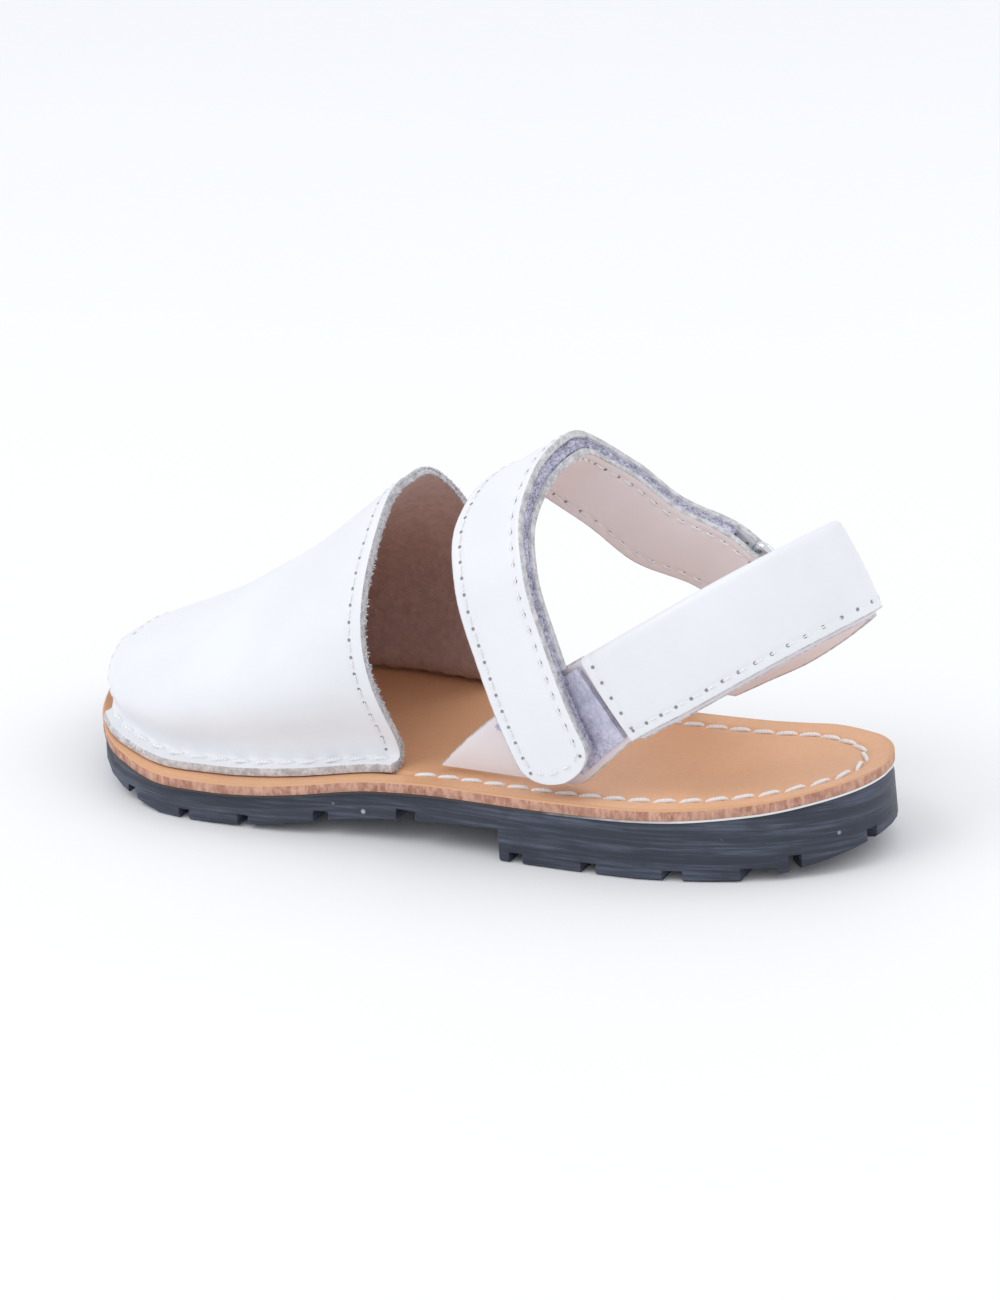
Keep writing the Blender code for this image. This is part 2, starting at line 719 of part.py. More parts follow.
def make_ring(band):
    """A rounded rectangle of wire: its upper bar holds the strap, its lower bar the tab."""
    upper, direction, up, normal = ring_frame(band)
    wire = TAPE_THICKNESS / 2
    reach_side = ANKLE_WIDTH / 2 + RING_SIDE_ROOM + wire
    corner = 1.6 * wire
    centre = upper - up * RING_REACH / 2
    loop = []
    for side, lift in ((1, 1), (-1, 1), (-1, -1), (1, -1)):
        middle = centre + direction * side * (reach_side - corner) + up * lift * (RING_REACH / 2 - corner)
        start = {(1, 1): 0, (-1, 1): 90, (-1, -1): 180, (1, -1): 270}[(side, lift)]
        for degrees in (0, 30, 60, 90):
            angle = math.radians(start + degrees)
            outward = direction * math.cos(angle) + up * math.sin(angle)
            loop.append((middle + outward * corner, outward))
    points = []
    for place, outward in loop:
        for k in range(RING_SIDES):
            angle = 2 * math.pi * k / RING_SIDES
            points.append(place + wire * (outward * math.cos(angle) + normal * math.sin(angle)))
    faces = ring_faces(len(loop), RING_SIDES, closed=True)
    make_object("ring", points, faces, "steel")


def make_tab(band):
    """A leather strip over the ring's lower bar, both its legs lying on the outside of the band."""
    upper, direction, up, normal = ring_frame(band)
    pivot = upper - up * RING_REACH
    inside = TAPE_THICKNESS / 2 + CLEARANCE
    outside = inside + TAB_LEATHER
    one, other = [pivot - normal * outside - up * TAB_LENGTH], [pivot - normal * inside - up * TAB_LENGTH]
    for angle in np.linspace(0, math.pi, 9):
        away = -normal * math.cos(angle) + up * math.sin(angle)
        one.append(pivot + away * outside)
        other.append(pivot + away * inside)
    one.append(pivot + normal * outside - up * TAB_LENGTH)
    other.append(pivot + normal * inside - up * TAB_LENGTH)
    widths = np.array([direction] * len(one))
    half = [ANKLE_WIDTH / 2 - TAB_INSET] * len(one)
    points, faces = strip_solid(np.array(one), np.array(other), widths, half)
    make_object("ring_tab", points, faces, "white_leather")


def main():
    for obj in list(bpy.data.objects):
        bpy.data.objects.remove(obj)
    make_outsole()
    make_insole()
    make_vamp()
    band = band_path()
    ankle = ankle_path(band)
    make_sling(band)
    make_patch(band)
    make_ankle_strap(ankle)
    make_ring(band)
    make_tab(band)


main()
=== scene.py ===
"""Looks of a child's avarca sandal, left shoe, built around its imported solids.

Shapes are worked out in millimetres from the rear of the heel, X to the toe, Y to the lateral side and Z up
from the floor, and are put into the frame's metres when a mesh is made. Tables hold shares of the sizes.
"""

import logging
import math
from collections.abc import Iterator, Sequence
from contextlib import contextmanager
from dataclasses import dataclass, field
from enum import Enum, IntEnum

import bpy
import numpy as np
from mathutils import Matrix, Vector


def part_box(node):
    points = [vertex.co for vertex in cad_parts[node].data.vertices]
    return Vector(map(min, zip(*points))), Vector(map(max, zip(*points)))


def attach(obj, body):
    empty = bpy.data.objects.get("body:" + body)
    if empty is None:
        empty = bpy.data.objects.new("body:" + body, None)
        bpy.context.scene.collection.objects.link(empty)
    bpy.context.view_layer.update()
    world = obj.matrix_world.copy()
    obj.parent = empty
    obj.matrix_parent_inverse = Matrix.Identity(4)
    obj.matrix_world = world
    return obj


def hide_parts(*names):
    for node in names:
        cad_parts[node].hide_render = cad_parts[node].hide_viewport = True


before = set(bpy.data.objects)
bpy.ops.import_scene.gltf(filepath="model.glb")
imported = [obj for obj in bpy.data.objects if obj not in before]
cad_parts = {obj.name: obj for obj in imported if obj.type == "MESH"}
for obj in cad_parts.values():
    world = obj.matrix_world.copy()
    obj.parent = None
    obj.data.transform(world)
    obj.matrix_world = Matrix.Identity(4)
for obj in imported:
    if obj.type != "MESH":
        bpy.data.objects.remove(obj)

LOG = logging.getLogger("avarca_sandal")
BODY = "root"
CHART = "chart"
MM = 1000.0
REST_AT = 0.22
END_TRIM = 0.012
SEAM_MERGE = 2e-6
STRIP_SHARP = 50
SHELL_SHARP = 60
# Painted shade: the near-black blended into each needle hole of a sewn row, standing for the shade inside the
# hole.
HOLE_SHADE_COLOUR = (0.05, 0.05, 0.06, 1.0)
FIBRE_BEND = 0.6
FIBRE_ROOT = 0.15

Array = np.ndarray


class Side(IntEnum):
    """Which half of the shoe a size belongs to."""

    LATERAL = 1
    MEDIAL = -1


class Part(IntEnum):
    """Material slots of a leather piece."""

    OUTER = 0
    INNER = 1
    EDGE = 2


class Axis(Enum):
    """The chart axis that a row of stitches runs along."""

    ALONG = "X"
    ACROSS = "Y"


# Half widths of the insole as shares of the ball width.
OUTLINE = (
    # along, lateral, medial
    (0.000, 0.022, -0.022),
    (0.015, 0.150, 0.105),
    (0.050, 0.240, 0.192),
    (0.120, 0.345, 0.262),
    (0.260, 0.435, 0.268),
    (0.400, 0.447, 0.288),
    (0.550, 0.447, 0.392),
    (0.700, 0.494, 0.508),
    (0.800, 0.498, 0.530),
    (0.900, 0.416, 0.490),
    (0.960, 0.262, 0.408),
    (0.990, 0.080, 0.262),
    (1.000, -0.058, 0.058),
)
BALL_SPAN = 0.498 + 0.530

# Height of the rubber's top as shares of the heel height.
SEAT = (
    # along, height
    (0.00, 1.46),
    (0.10, 1.20),
    (0.20, 1.06),
    (0.35, 1.00),
    (0.47, 0.99),
    (0.56, 0.90),
    (0.66, 0.70),
    (0.76, 0.565),
    (0.83, 0.560),
    (0.90, 0.690),
    (1.00, 1.060),
)

# Sections of the vamp from throat to toe edge: crest as a share of the instep height, bulges of the ball
# width, margin of the flange margins.
VAMP_SECTIONS = (
    # part, crest, lateral_bulge, medial_bulge, margin
    (0.00, 1.000, 0.132, 0.085, 1.00),
    (0.10, 0.910, 0.125, 0.082, 1.00),
    (0.23, 0.786, 0.112, 0.078, 1.00),
    (0.40, 0.645, 0.098, 0.070, 1.00),
    (0.60, 0.480, 0.080, 0.060, 0.90),
    (0.86, 0.255, 0.050, 0.045, 0.50),
    (1.00, 0.125, 0.025, 0.020, 0.15),
)

# Middle line of the heel sling: along as a share of the length, aside of the ball width, above of the band's
# rise, slant in degrees above the X axis, wide of the band's width.
BAND_PATH = (
    # along, aside, above, slant, wide
    (0.408, 0.315, 0.012, 0.0, 1.560),
    (0.348, 0.330, 0.225, 27.0, 1.180),
    (0.283, 0.338, 0.440, 54.0, 1.000),
    (0.202, 0.322, 0.655, 57.0, 1.000),
    (0.115, 0.235, 0.868, 60.0, 1.000),
    (0.062, 0.125, 0.975, 63.0, 1.000),
    (0.047, 0.030, 0.985, 64.0, 1.000),
    (0.062, -0.070, 0.910, 62.0, 1.000),
    (0.108, -0.145, 0.740, 57.0, 1.000),
    (0.168, -0.200, 0.550, 54.0, 1.000),
    (0.232, -0.238, 0.380, 52.0, 0.960),
    (0.292, -0.242, 0.190, 40.0, 0.830),
    (0.331, -0.228, 0.012, 0.0, 0.760),
)

# Middle line of the ankle strap from its tip towards the ring: slant is the fall of its width towards +X.
ANKLE_PATH = (
    # along, aside, above, slant
    (0.318, 0.358, 0.070, 26.0),
    (0.344, 0.364, 0.225, 25.0),
    (0.376, 0.352, 0.450, 23.0),
    (0.404, 0.312, 0.640, 20.0),
    (0.421, 0.215, 0.764, 22.0),
    (0.414, 0.120, 0.847, 27.0),
    (0.402, 0.015, 0.876, 32.0),
    (0.404, -0.085, 0.843, 35.0),
    (0.401, -0.168, 0.784, 39.0),
    (0.369, -0.210, 0.710, 46.0),
    (0.329, -0.250, 0.604, 51.0),
)


def smooth(table: Sequence[Sequence[float]], column: int, at: Array) -> Array:
    """Reads a table column along a curve with no overshoot.

    Args:
        table: Rows whose first column is the place.
        column: The column to read.
        at: Places to read it at.

    Returns:
        One value for each place.
    """
    x = np.array([row[0] for row in table], float)
    y = np.array([row[column] for row in table], float)
    slopes = np.diff(y) / np.diff(x)
    tangents = np.zeros_like(y)
    tangents[0], tangents[-1] = slopes[0], slopes[-1]
    same_way = slopes[:-1] * slopes[1:] > 0
    mean = 2 * slopes[:-1] * slopes[1:] / np.where(same_way, slopes[:-1] + slopes[1:], 1)
    tangents[1:-1] = np.where(same_way, mean, 0)
    return hermite(x, y, tangents, np.clip(np.asarray(at, float), x[0], x[-1]))


def hermite(x: Array, y: Array, tangents: Array, at: Array) -> Array:
    """Evaluates a cubic through knots with given tangents.

    Args:
        x: Places of the knots.
        y: Values at the knots.
        tangents: Slopes at the knots.
        at: Places to read the curve at.

    Returns:
        One value for each place.
    """
    i = np.clip(np.searchsorted(x, at, side="right") - 1, 0, len(x) - 2)
    step = x[i + 1] - x[i]
    t = (at - x[i]) / step
    return (
        y[i] * (1 + 2 * t) * (1 - t) ** 2
        + tangents[i] * step * t * (1 - t) ** 2
        + y[i + 1] * t**2 * (3 - 2 * t)
        - tangents[i + 1] * step * t**2 * (1 - t)
    )


def unit(vectors: Array) -> Array:
    """Vectors of length one, along the last axis.

    Args:
        vectors: The vectors.

    Returns:
        The unit vectors.
    """
    return vectors / np.maximum(np.linalg.norm(vectors, axis=-1, keepdims=True), 1e-9)


def travelled(points: Array) -> Array:
    """Distance along a line of points, from its first one.

    Args:
        points: The points, one in each row.

    Returns:
        One distance for each point.
    """
    return np.concatenate([[0.0], np.cumsum(np.linalg.norm(np.diff(points, axis=0), axis=1))])


@dataclass(frozen=True)
class Last:
    """The form that sole and upper follow."""

    length: float
    ball_width: float
    heel_height: float = 11.0
    board: float = 2.3
    dish: float = 0.8
    gap: float = 0.3
    strap_foot_at: float = 68.0

    @classmethod
    def from_frame(cls) -> "Last":
        """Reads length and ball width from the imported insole.

        Returns:
            The last that the solids were built on.
        """
        low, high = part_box("insole")
        return cls((high.x - low.x) * MM, (high.y - low.y) * MM / BALL_SPAN)

    def half_width(self, x: Array, side: int) -> Array:
        """Distance of the insole's edge from the X axis.

        Args:
            x: Places along the shoe.
            side: A Side, or its sign.

        Returns:
            One distance for each place.
        """
        table = [(math.acos(1 - 2 * row[0]) / math.pi, row[1], row[2]) for row in OUTLINE]
        angle = np.arccos(1 - 2 * np.clip(np.asarray(x) / self.length, 0, 1)) / np.pi
        return self.ball_width * smooth(table, 1 if side > 0 else 2, angle)

    def seat(self, x: Array) -> Array:
        """Height of the rubber's top.

        Args:
            x: Places along the shoe.

        Returns:
            One height for each place.
        """
        return self.heel_height * smooth(SEAT, 1, np.asarray(x) / self.length)

    def insole_top(self, x: Array, y: Array) -> Array:
        """Height of the insole's dished top at x and y.

        Args:
            x: Places along the shoe.
            y: Places across the shoe.

        Returns:
            One height for each place.
        """
        lateral, medial = self.half_width(x, Side.LATERAL), self.half_width(x, Side.MEDIAL)
        middle, half = (lateral - medial) / 2, np.maximum((lateral + medial) / 2, 1e-6)
        dish = self.dish * np.clip(1 - ((y - middle) / half) ** 2, 0, 1)
        return self.seat(x) + self.gap + self.board - dish

    def bench(self) -> float:
        """Height that the straps rise from.

        Returns:
            The height.
        """
        return float(self.seat(self.strap_foot_at)) + self.gap + self.board

    def edge_line(self, inset: float, count: int = 720) -> Array:
        """The insole's outline in plan, moved inwards.

        Args:
            inset: Distance from the edge.
            count: Points in the loop.

        Returns:
            A closed loop of points, from the heel along the lateral side to the toe and back.
        """
        x = self.length * (1 - np.cos(np.linspace(0, np.pi, count // 2 + 1))) / 2
        lateral = np.stack([x, self.half_width(x, Side.LATERAL)], 1)
        medial = np.stack([x[-2:0:-1], -self.half_width(x[-2:0:-1], Side.MEDIAL)], 1)
        loop = np.concatenate([lateral, medial])
        along = np.roll(loop, -1, 0) - np.roll(loop, 1, 0)
        normal = unit(np.stack([-along[:, 1], along[:, 0]], 1))
        return loop - normal * inset

    def from_edge(self, points: Array) -> Array:
        """Distance of plan points from the insole's edge.

        Args:
            points: The points, one in each row.

        Returns:
            One distance for each point.
        """
        loop = self.edge_line(0.0)
        return np.array([np.sqrt(((loop - point) ** 2).sum(1).min()) for point in points])


class Path:
    """A strap's middle line with the direction of its width, read by shares of its length."""

    def __init__(self, points: Sequence, widths: Sequence, half: Sequence) -> None:
        """Keeps the knots.

        Args:
            points: Places of the knots.
            widths: Directions of the strap's width.
            half: Half widths.
        """
        points, widths, half = np.asarray(points, float), np.asarray(widths, float), np.asarray(half, float)
        along = travelled(points)
        self.length = float(along[-1])
        self.knots = along / self.length
        self.columns = np.column_stack([points, widths, half])

    def read(self, shares: Array) -> Array:
        """All columns at shares of the path, along a smooth curve through the knots.

        Args:
            shares: Shares of the path's length.

        Returns:
            Place, width direction and half width for each share.
        """
        result = []
        spans = np.diff(self.knots)
        for y in self.columns.T:
            slopes = np.diff(y) / spans
            tangents = np.empty_like(y)
            tangents[0], tangents[-1] = slopes[0], slopes[-1]
            tangents[1:-1] = (slopes[:-1] * spans[1:] + slopes[1:] * spans[:-1]) / (spans[1:] + spans[:-1])
            result.append(hermite(self.knots, y, tangents, shares))
        return np.stack(result, 1)

    def rail(self, shares: Array, offset: float = 0.0) -> "Rail":
        """Stations at shares of the path.

        Args:
            shares: Where the stations are.
            offset: Distance outwards from the path.

        Returns:
            The stations as a rail.
        """
        shares = np.asarray(shares, float)
        near = 1e-3
        values = self.read(shares)
        ahead, behind = (self.read(np.clip(shares + step, 0, 1))[:, :3] for step in (near, -near))
        forward = ahead - behind
        width = unit(values[:, 3:6])
        out = unit(np.cross(forward, width))
        return Rail(values[:, :3] + out * offset, width, out, values[:, 6], shares * self.length)


@dataclass
class Rail:
    """Stations that a strip's cross-section is placed on."""

    origin: Array
    width: Array
    out: Array
    half: Array
    along: Array

    def place(self, across: Array, level: Array) -> Array:
        """Points at distances across and out from the stations, one row of them for each station.

        Args:
            across: Distances along the width's direction.
            level: Distances outwards.

        Returns:
            The points, stations by places across.
        """
        aside = self.width[:, None] * across[:, :, None]
        return self.origin[:, None] + aside + self.out[:, None] * level[:, :, None]

    def line(self, across: Array, level: float) -> Array:
        """One point for each station.

        Args:
            across: Distances along the width's direction.
            level: Distances outwards.

        Returns:
            The points.
        """
        return self.origin + self.width * np.asarray(across)[:, None] + self.out * level


@dataclass(frozen=True)
class Section:
    """A strip's closed cross-section, with round corners and, if asked, a rolled upper edge."""

    thick: float
    corner: float = 0.3
    lower: float = 0.0
    upper: float = 0.0
    crown: float = 0.0
    bead: float = 0.0
    face_steps: int = 12
    corner_steps: int = 3

    def rows(self) -> list[tuple]:
        """Points of the section, each with the part that the next face belongs to.

        Returns:
            Rows of shares of the low edge, high edge, corner and bead for the distance across, of thickness,
            corner, bead and crown for the level, and the part.
        """
        turn = [k / self.corner_steps for k in range(self.corner_steps + 1)]
        result = []
        for k in range(self.face_steps + 1):
            f = k / self.face_steps
            bead = -f if self.bead else 0.0
            corner = (1 - f) if self.bead else 1 - 2 * f
            result.append((1 - f, f, corner, bead, 0, 0, 0, 0, Part.INNER))
        if self.bead:
            for k in range(9):
                angle = math.radians(-90 + 22.5 * k)
                result.append((0, 1, 0, math.cos(angle) - 1, 1, 0, math.sin(angle) - 1, 0, Part.OUTER))
        else:
            for f in turn:
                angle = math.radians(-90 + 90 * f)
                result.append((0, 1, math.cos(angle) - 1, 0, 0, 1 + math.sin(angle), 0, 0, Part.EDGE))
            for f in turn:
                angle = math.radians(90 * f)
                result.append((0, 1, math.cos(angle) - 1, 0, 1, math.sin(angle) - 1, 0, 0, Part.EDGE))
        for k in range(self.face_steps + 1):
            f = 1 - k / self.face_steps
            bead = -f if self.bead else 0.0
            corner = (1 - f) if self.bead else 1 - 2 * f
            result.append((1 - f, f, corner, bead, 1, 0, 0, 4 * f * (1 - f), Part.OUTER))
        for f in turn:
            angle = math.radians(90 + 90 * f)
            result.append((1, 0, 1 + math.cos(angle), 0, 1, math.sin(angle) - 1, 0, 0, Part.EDGE))
        for f in turn:
            angle = math.radians(180 + 90 * f)
            result.append((1, 0, 1 + math.cos(angle), 0, 0, 1 + math.sin(angle), 0, 0, Part.EDGE))
        return result

    def shape(self, half: Array) -> tuple[Array, Array, list[int]]:
        """Distances across and out of each point of the section at each station.

        Args:
            half: Half widths of the strip.

        Returns:
            The distances across, the levels, and the part of each face round the section.
        """
        rows = self.rows()
        table = np.array([row[:8] for row in rows])
        corner = np.minimum(self.corner, 0.9 * half)[:, None]
        low, high = -(half + self.lower)[:, None], (half + self.upper)[:, None]
        across = low * table[:, 0] + high * table[:, 1] + corner * table[:, 2] + self.bead * table[:, 3]
        level = self.thick * table[:, 4] + corner * table[:, 5]
        level = level + self.bead * table[:, 6] + self.crown * table[:, 7]
        return across, level, [row[8] for row in rows[:-1]]


def to_frame(points: Array) -> Array:
    """Millimetres from the rear of the heel into the frame's metres.

    Args:
        points: The points, one in each row.

    Returns:
        The points in the frame's metres.
    """
    return (np.asarray(points) - [REST_AT * LAST.length, 0, 0]) / MM


def clear_selection() -> None:
    """Leaves nothing selected."""
    bpy.ops.object.select_all(action="DESELECT")


@contextmanager
def editing(obj: bpy.types.Object) -> Iterator[None]:
    """Edit mode on one object with all of it selected.

    Args:
        obj: The object to work on.

    Returns:
        A context that ends in object mode.
    """
    clear_selection()
    obj.select_set(True)
    bpy.context.view_layer.objects.active = obj
    bpy.ops.object.mode_set(mode="EDIT")
    bpy.ops.mesh.select_all(action="SELECT")
    yield
    bpy.ops.object.mode_set(mode="OBJECT")


def apply_modifiers(obj: bpy.types.Object) -> None:
    """Applies the object's modifiers in their order.

    Args:
        obj: The object to work on.
    """
    clear_selection()
    obj.select_set(True)
    bpy.context.view_layer.objects.active = obj
    for modifier in list(obj.modifiers):
        bpy.ops.object.modifier_apply(modifier=modifier.name)


def smooth_by_angle(obj: bpy.types.Object, degrees: float) -> None:
    """Shades smooth but for edges sharper than an angle.

    Args:
        obj: The object to work on.
        degrees: The angle above which an edge stays sharp.
    """
    clear_selection()
    obj.select_set(True)
    bpy.context.view_layer.objects.active = obj
    bpy.ops.object.shade_smooth_by_angle(angle=math.radians(degrees))


def lay_grid(name: str, lattice: Array, chart: Array, parts: Sequence[int] | None = None) -> bpy.types.Object:
    """Adds a grid and lays its points on a lattice.

    Args:
        name: The piece's name.
        lattice: Points in millimetres, stations by points round or across.
        chart: Millimetres along and across for each point, kept as the piece's UV map.
        parts: Material slot of each face across.

    Returns:
        The new object, with its seams merged.
    """
    along, across = lattice.shape[0] - 1, lattice.shape[1] - 1
    clear_selection()
    bpy.ops.mesh.primitive_grid_add(x_subdivisions=along, y_subdivisions=across, size=1.0)
    obj = bpy.context.active_object
    obj.name = name
    mesh = obj.data
    mesh.name = name
    places = np.empty(len(mesh.vertices) * 3)
    mesh.vertices.foreach_get("co", places)
    places = places.reshape(-1, 3)
    i = np.rint((places[:, 0] + 0.5) * along).astype(int)
    j = np.rint((places[:, 1] + 0.5) * across).astype(int)
    mesh.vertices.foreach_set("co", to_frame(lattice[i, j]).astype(np.float32).ravel())
    corners = np.empty(len(mesh.loops), int)
    mesh.loops.foreach_get("vertex_index", corners)
    layer = mesh.uv_layers[0]
    layer.name = CHART
    layer.data.foreach_set("uv", chart[i, j][corners].astype(np.float32).ravel())
    if parts is not None:
        first = j[corners.reshape(-1, 4)].min(1)
        mesh.polygons.foreach_set("material_index", np.asarray(parts)[first].astype(np.int32))
    mesh.update()
    with editing(obj):
        bpy.ops.mesh.remove_doubles(threshold=SEAM_MERGE)
    return obj


def close_ends(obj: bpy.types.Object) -> None:
    """Fills a tube's two ends and turns its faces outwards.

    Args:
        obj: The object to work on.
    """
    before = len(obj.data.polygons)
    with editing(obj):
        bpy.ops.mesh.fill_holes(sides=0)
        bpy.ops.mesh.normals_make_consistent(inside=False)
    for face in list(obj.data.polygons)[before:]:
        face.material_index = Part.EDGE


def sweep(name: str, rail: Rail, section: Section, ripple: Array | None = None) -> bpy.types.Object:
    """Makes a closed strip along a rail.

    Args:
        name: The piece's name.
        rail: The strip's stations.
        section: Its cross-section.
        ripple: Extra distance out, for each station and point of the section.

    Returns:
        The new object.
    """
    across, level, parts = section.shape(rail.half)
    if ripple is not None:
        level = level + ripple
    lattice = rail.place(across, level)
    chart = np.stack([np.broadcast_to(rail.along[:, None], across.shape), across], 2)
    obj = lay_grid(name, lattice, chart, parts)
    close_ends(obj)
    smooth_by_angle(obj, STRIP_SHARP)
    return obj


def dress(obj: bpy.types.Object, materials: Sequence[bpy.types.Material]) -> None:
    """Gives a piece its materials in the order of its parts, and keeps what each face belongs to.

    Args:
        obj: The object to work on.
        materials: The materials, one for each part.
    """
    slots = obj.data.materials
    for index, material in enumerate(materials):
        if index < len(slots):
            slots[index] = material
        else:
            slots.append(material)


def put_on(obj: bpy.types.Object, materials: Sequence[bpy.types.Material], slot: str, *nodes: str) -> None:
    """Dresses a piece, says what it rides on and hides the CAD nodes that it stands for.

    Args:
        obj: The object to work on.
        materials: The materials, one for each part.
        slot: Not used.
        nodes: Names of the CAD nodes that it stands for.
    """
    dress(obj, materials)
    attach(obj, BODY)
    if nodes:
        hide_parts(*nodes)
    LOG.info("%s: %d faces", obj.name, len(obj.data.polygons))


def copies(
    name: str, shape: tuple[Array, list], places: Array, axes: Array, sizes: Array
) -> bpy.types.Object:
    """Joins many copies of a small shape into one mesh.

    Args:
        name: The piece's name.
        shape: The shape's points and faces, a millimetre unit long along X.
        places: Where each copy goes, in millimetres.
        axes: Three unit axes for each copy.
        sizes: Scale of each copy along its three axes.

    Returns:
        The joined object.
    """
    points, faces = shape
    scaled = points[None] * sizes[:, None]
    moved = places[:, None] + np.einsum("nkc,ncd->nkd", scaled, axes)
    count = len(points)
    joined = [[corner + k * count for corner in face] for k in range(len(places)) for face in faces]
    mesh = bpy.data.meshes.new(name)
    mesh.from_pydata(to_frame(moved.reshape(-1, 3)).tolist(), [], joined)
    mesh.shade_smooth()
    obj = bpy.data.objects.new(name, mesh)
    bpy.context.scene.collection.objects.link(obj)
    return obj


def thread_shape() -> tuple[Array, list]:
    """One stitch: a rounded bar whose ends dip into the leather.

    Returns:
        Points and faces of a shape one unit long.
    """
    clear_selection()
    bpy.ops.mesh.primitive_uv_sphere_add(segments=10, ring_count=8, radius=0.5)
    with editing(bpy.context.active_object):
        bpy.ops.transform.rotate(value=math.pi / 2, orient_axis="Y", center_override=(0, 0, 0))
    obj = bpy.context.active_object
    points = np.array([vertex.co for vertex in obj.data.vertices])
    faces = [list(face.vertices) for face in obj.data.polygons]
    bpy.data.objects.remove(obj)
    along = points[:, 0] * 2
    points[:, 0] = 0.5 * np.sign(along) * np.abs(along) ** 0.75
    points[:, 2] -= 0.9 * along**4
    return points, faces


def fibre_shape() -> tuple[Array, list]:
    """One loose fibre: a bent three-sided hair that tapers to its tip.

    Returns:
        Points and faces of a shape one unit long.
    """
    rings = [(0.0, 0.0, 1.0), (0.4, 0.06, 0.85), (0.75, 0.2, 0.6), (1.0, 0.42, 0.25)]
    points, faces = [], []
    for along, bend, size in rings:
        for k in range(3):
            angle = 2 * math.pi * k / 3
            points.append((along, bend + size * 0.5 * math.cos(angle), size * 0.5 * math.sin(angle)))
    for ring in range(len(rings) - 1):
        for k in range(3):
            a, b = ring * 3 + k, ring * 3 + (k + 1) % 3
            faces.append([a, b, b + 3, a + 3])
    faces.append([2, 1, 0])
    faces.append([9, 10, 11])
    return np.array(points), faces


@dataclass(frozen=True)
class StitchRow:
    """A row of stitches along a line on a surface."""

    pitch: float = 3.3
    thread: float = 0.5
    fill: float = 0.74
    yaw: float = 0.0
    sink: float = 0.05

    def sew(self, name: str, line: Array, up: Array, start: float = 0.0) -> bpy.types.Object:
        """Lays stitches between holes one pitch apart.

        Args:
            name: The piece's name.
            line: Points on the surface, close together.
            up: Directions out of the surface at those points.
            start: Distance along the line at which its first hole lies.

        Returns:
            The joined stitches.
        """
        distance = travelled(line)
        count = max(int((distance[-1] - start) / self.pitch), 1)
        middles = start + (np.arange(count) + 0.5) * self.pitch
        reach = self.pitch * self.fill / 2

        def at(place: Array, values: Array) -> Array:
            """Reads values along a line.

            Args:
                place: Distances along the line.
                values: One value for each point of the line.

            Returns:
                The values there.
            """
            return np.stack([np.interp(place, distance, values[:, c]) for c in range(3)], 1)

        forward = unit(at(middles + reach, line) - at(middles - reach, line))
        above = at(middles, up)
        above = unit(above - forward * (above * forward).sum(1, keepdims=True))
        aside = np.cross(above, forward)
        turn = math.radians(self.yaw)
        forward, aside = (
            forward * math.cos(turn) + aside * math.sin(turn),
            aside * math.cos(turn) - forward * math.sin(turn),
        )
        centre = (at(middles + reach, line) + at(middles - reach, line)) / 2
        places = centre + above * (self.thread / 2 - self.sink)
        size = np.array([self.pitch * self.fill, self.thread, self.thread])
        return copies(name, THREAD, places, np.stack([forward, aside, above], 1), np.tile(size, (count, 1)))


@dataclass(frozen=True)
class Fuzz:
    """Loose fibres that stand out of a cut edge or a pile."""

    count: int
    length: float
    thick: float
    spread: float
    seed: int

    def grow(self, name: str, roots: Array, ways: Array) -> bpy.types.Object:
        """Grows fibres at random roots.

        Args:
            name: The piece's name.
            roots: Points that a fibre may stand on.
            ways: The way that a fibre at each point leans.

        Returns:
            The joined fibres.
        """
        random = np.random.default_rng(self.seed)
        pick = random.integers(0, len(roots) - 1, self.count)
        part = random.random((self.count, 1))
        near = np.linalg.norm(roots[pick + 1] - roots[pick], axis=1, keepdims=True) < 2.0
        places = roots[pick] + np.where(near, part, 0) * (roots[pick + 1] - roots[pick])
        forward = unit(ways[pick] + random.normal(0, self.spread, (self.count, 3)))
        aside = unit(np.cross(forward, random.normal(0, 1, (self.count, 3))))
        up = np.cross(forward, aside)
        long = self.length * random.uniform(0.45, 1.0, (self.count, 1))
        sizes = np.concatenate([long, long, np.full_like(long, self.thick)], 1)
        shape = (FIBRE[0] * [1.0, FIBRE_BEND, 1.0], FIBRE[1])
        return copies(name, shape, places - forward * FIBRE_ROOT, np.stack([forward, aside, up], 1), sizes)


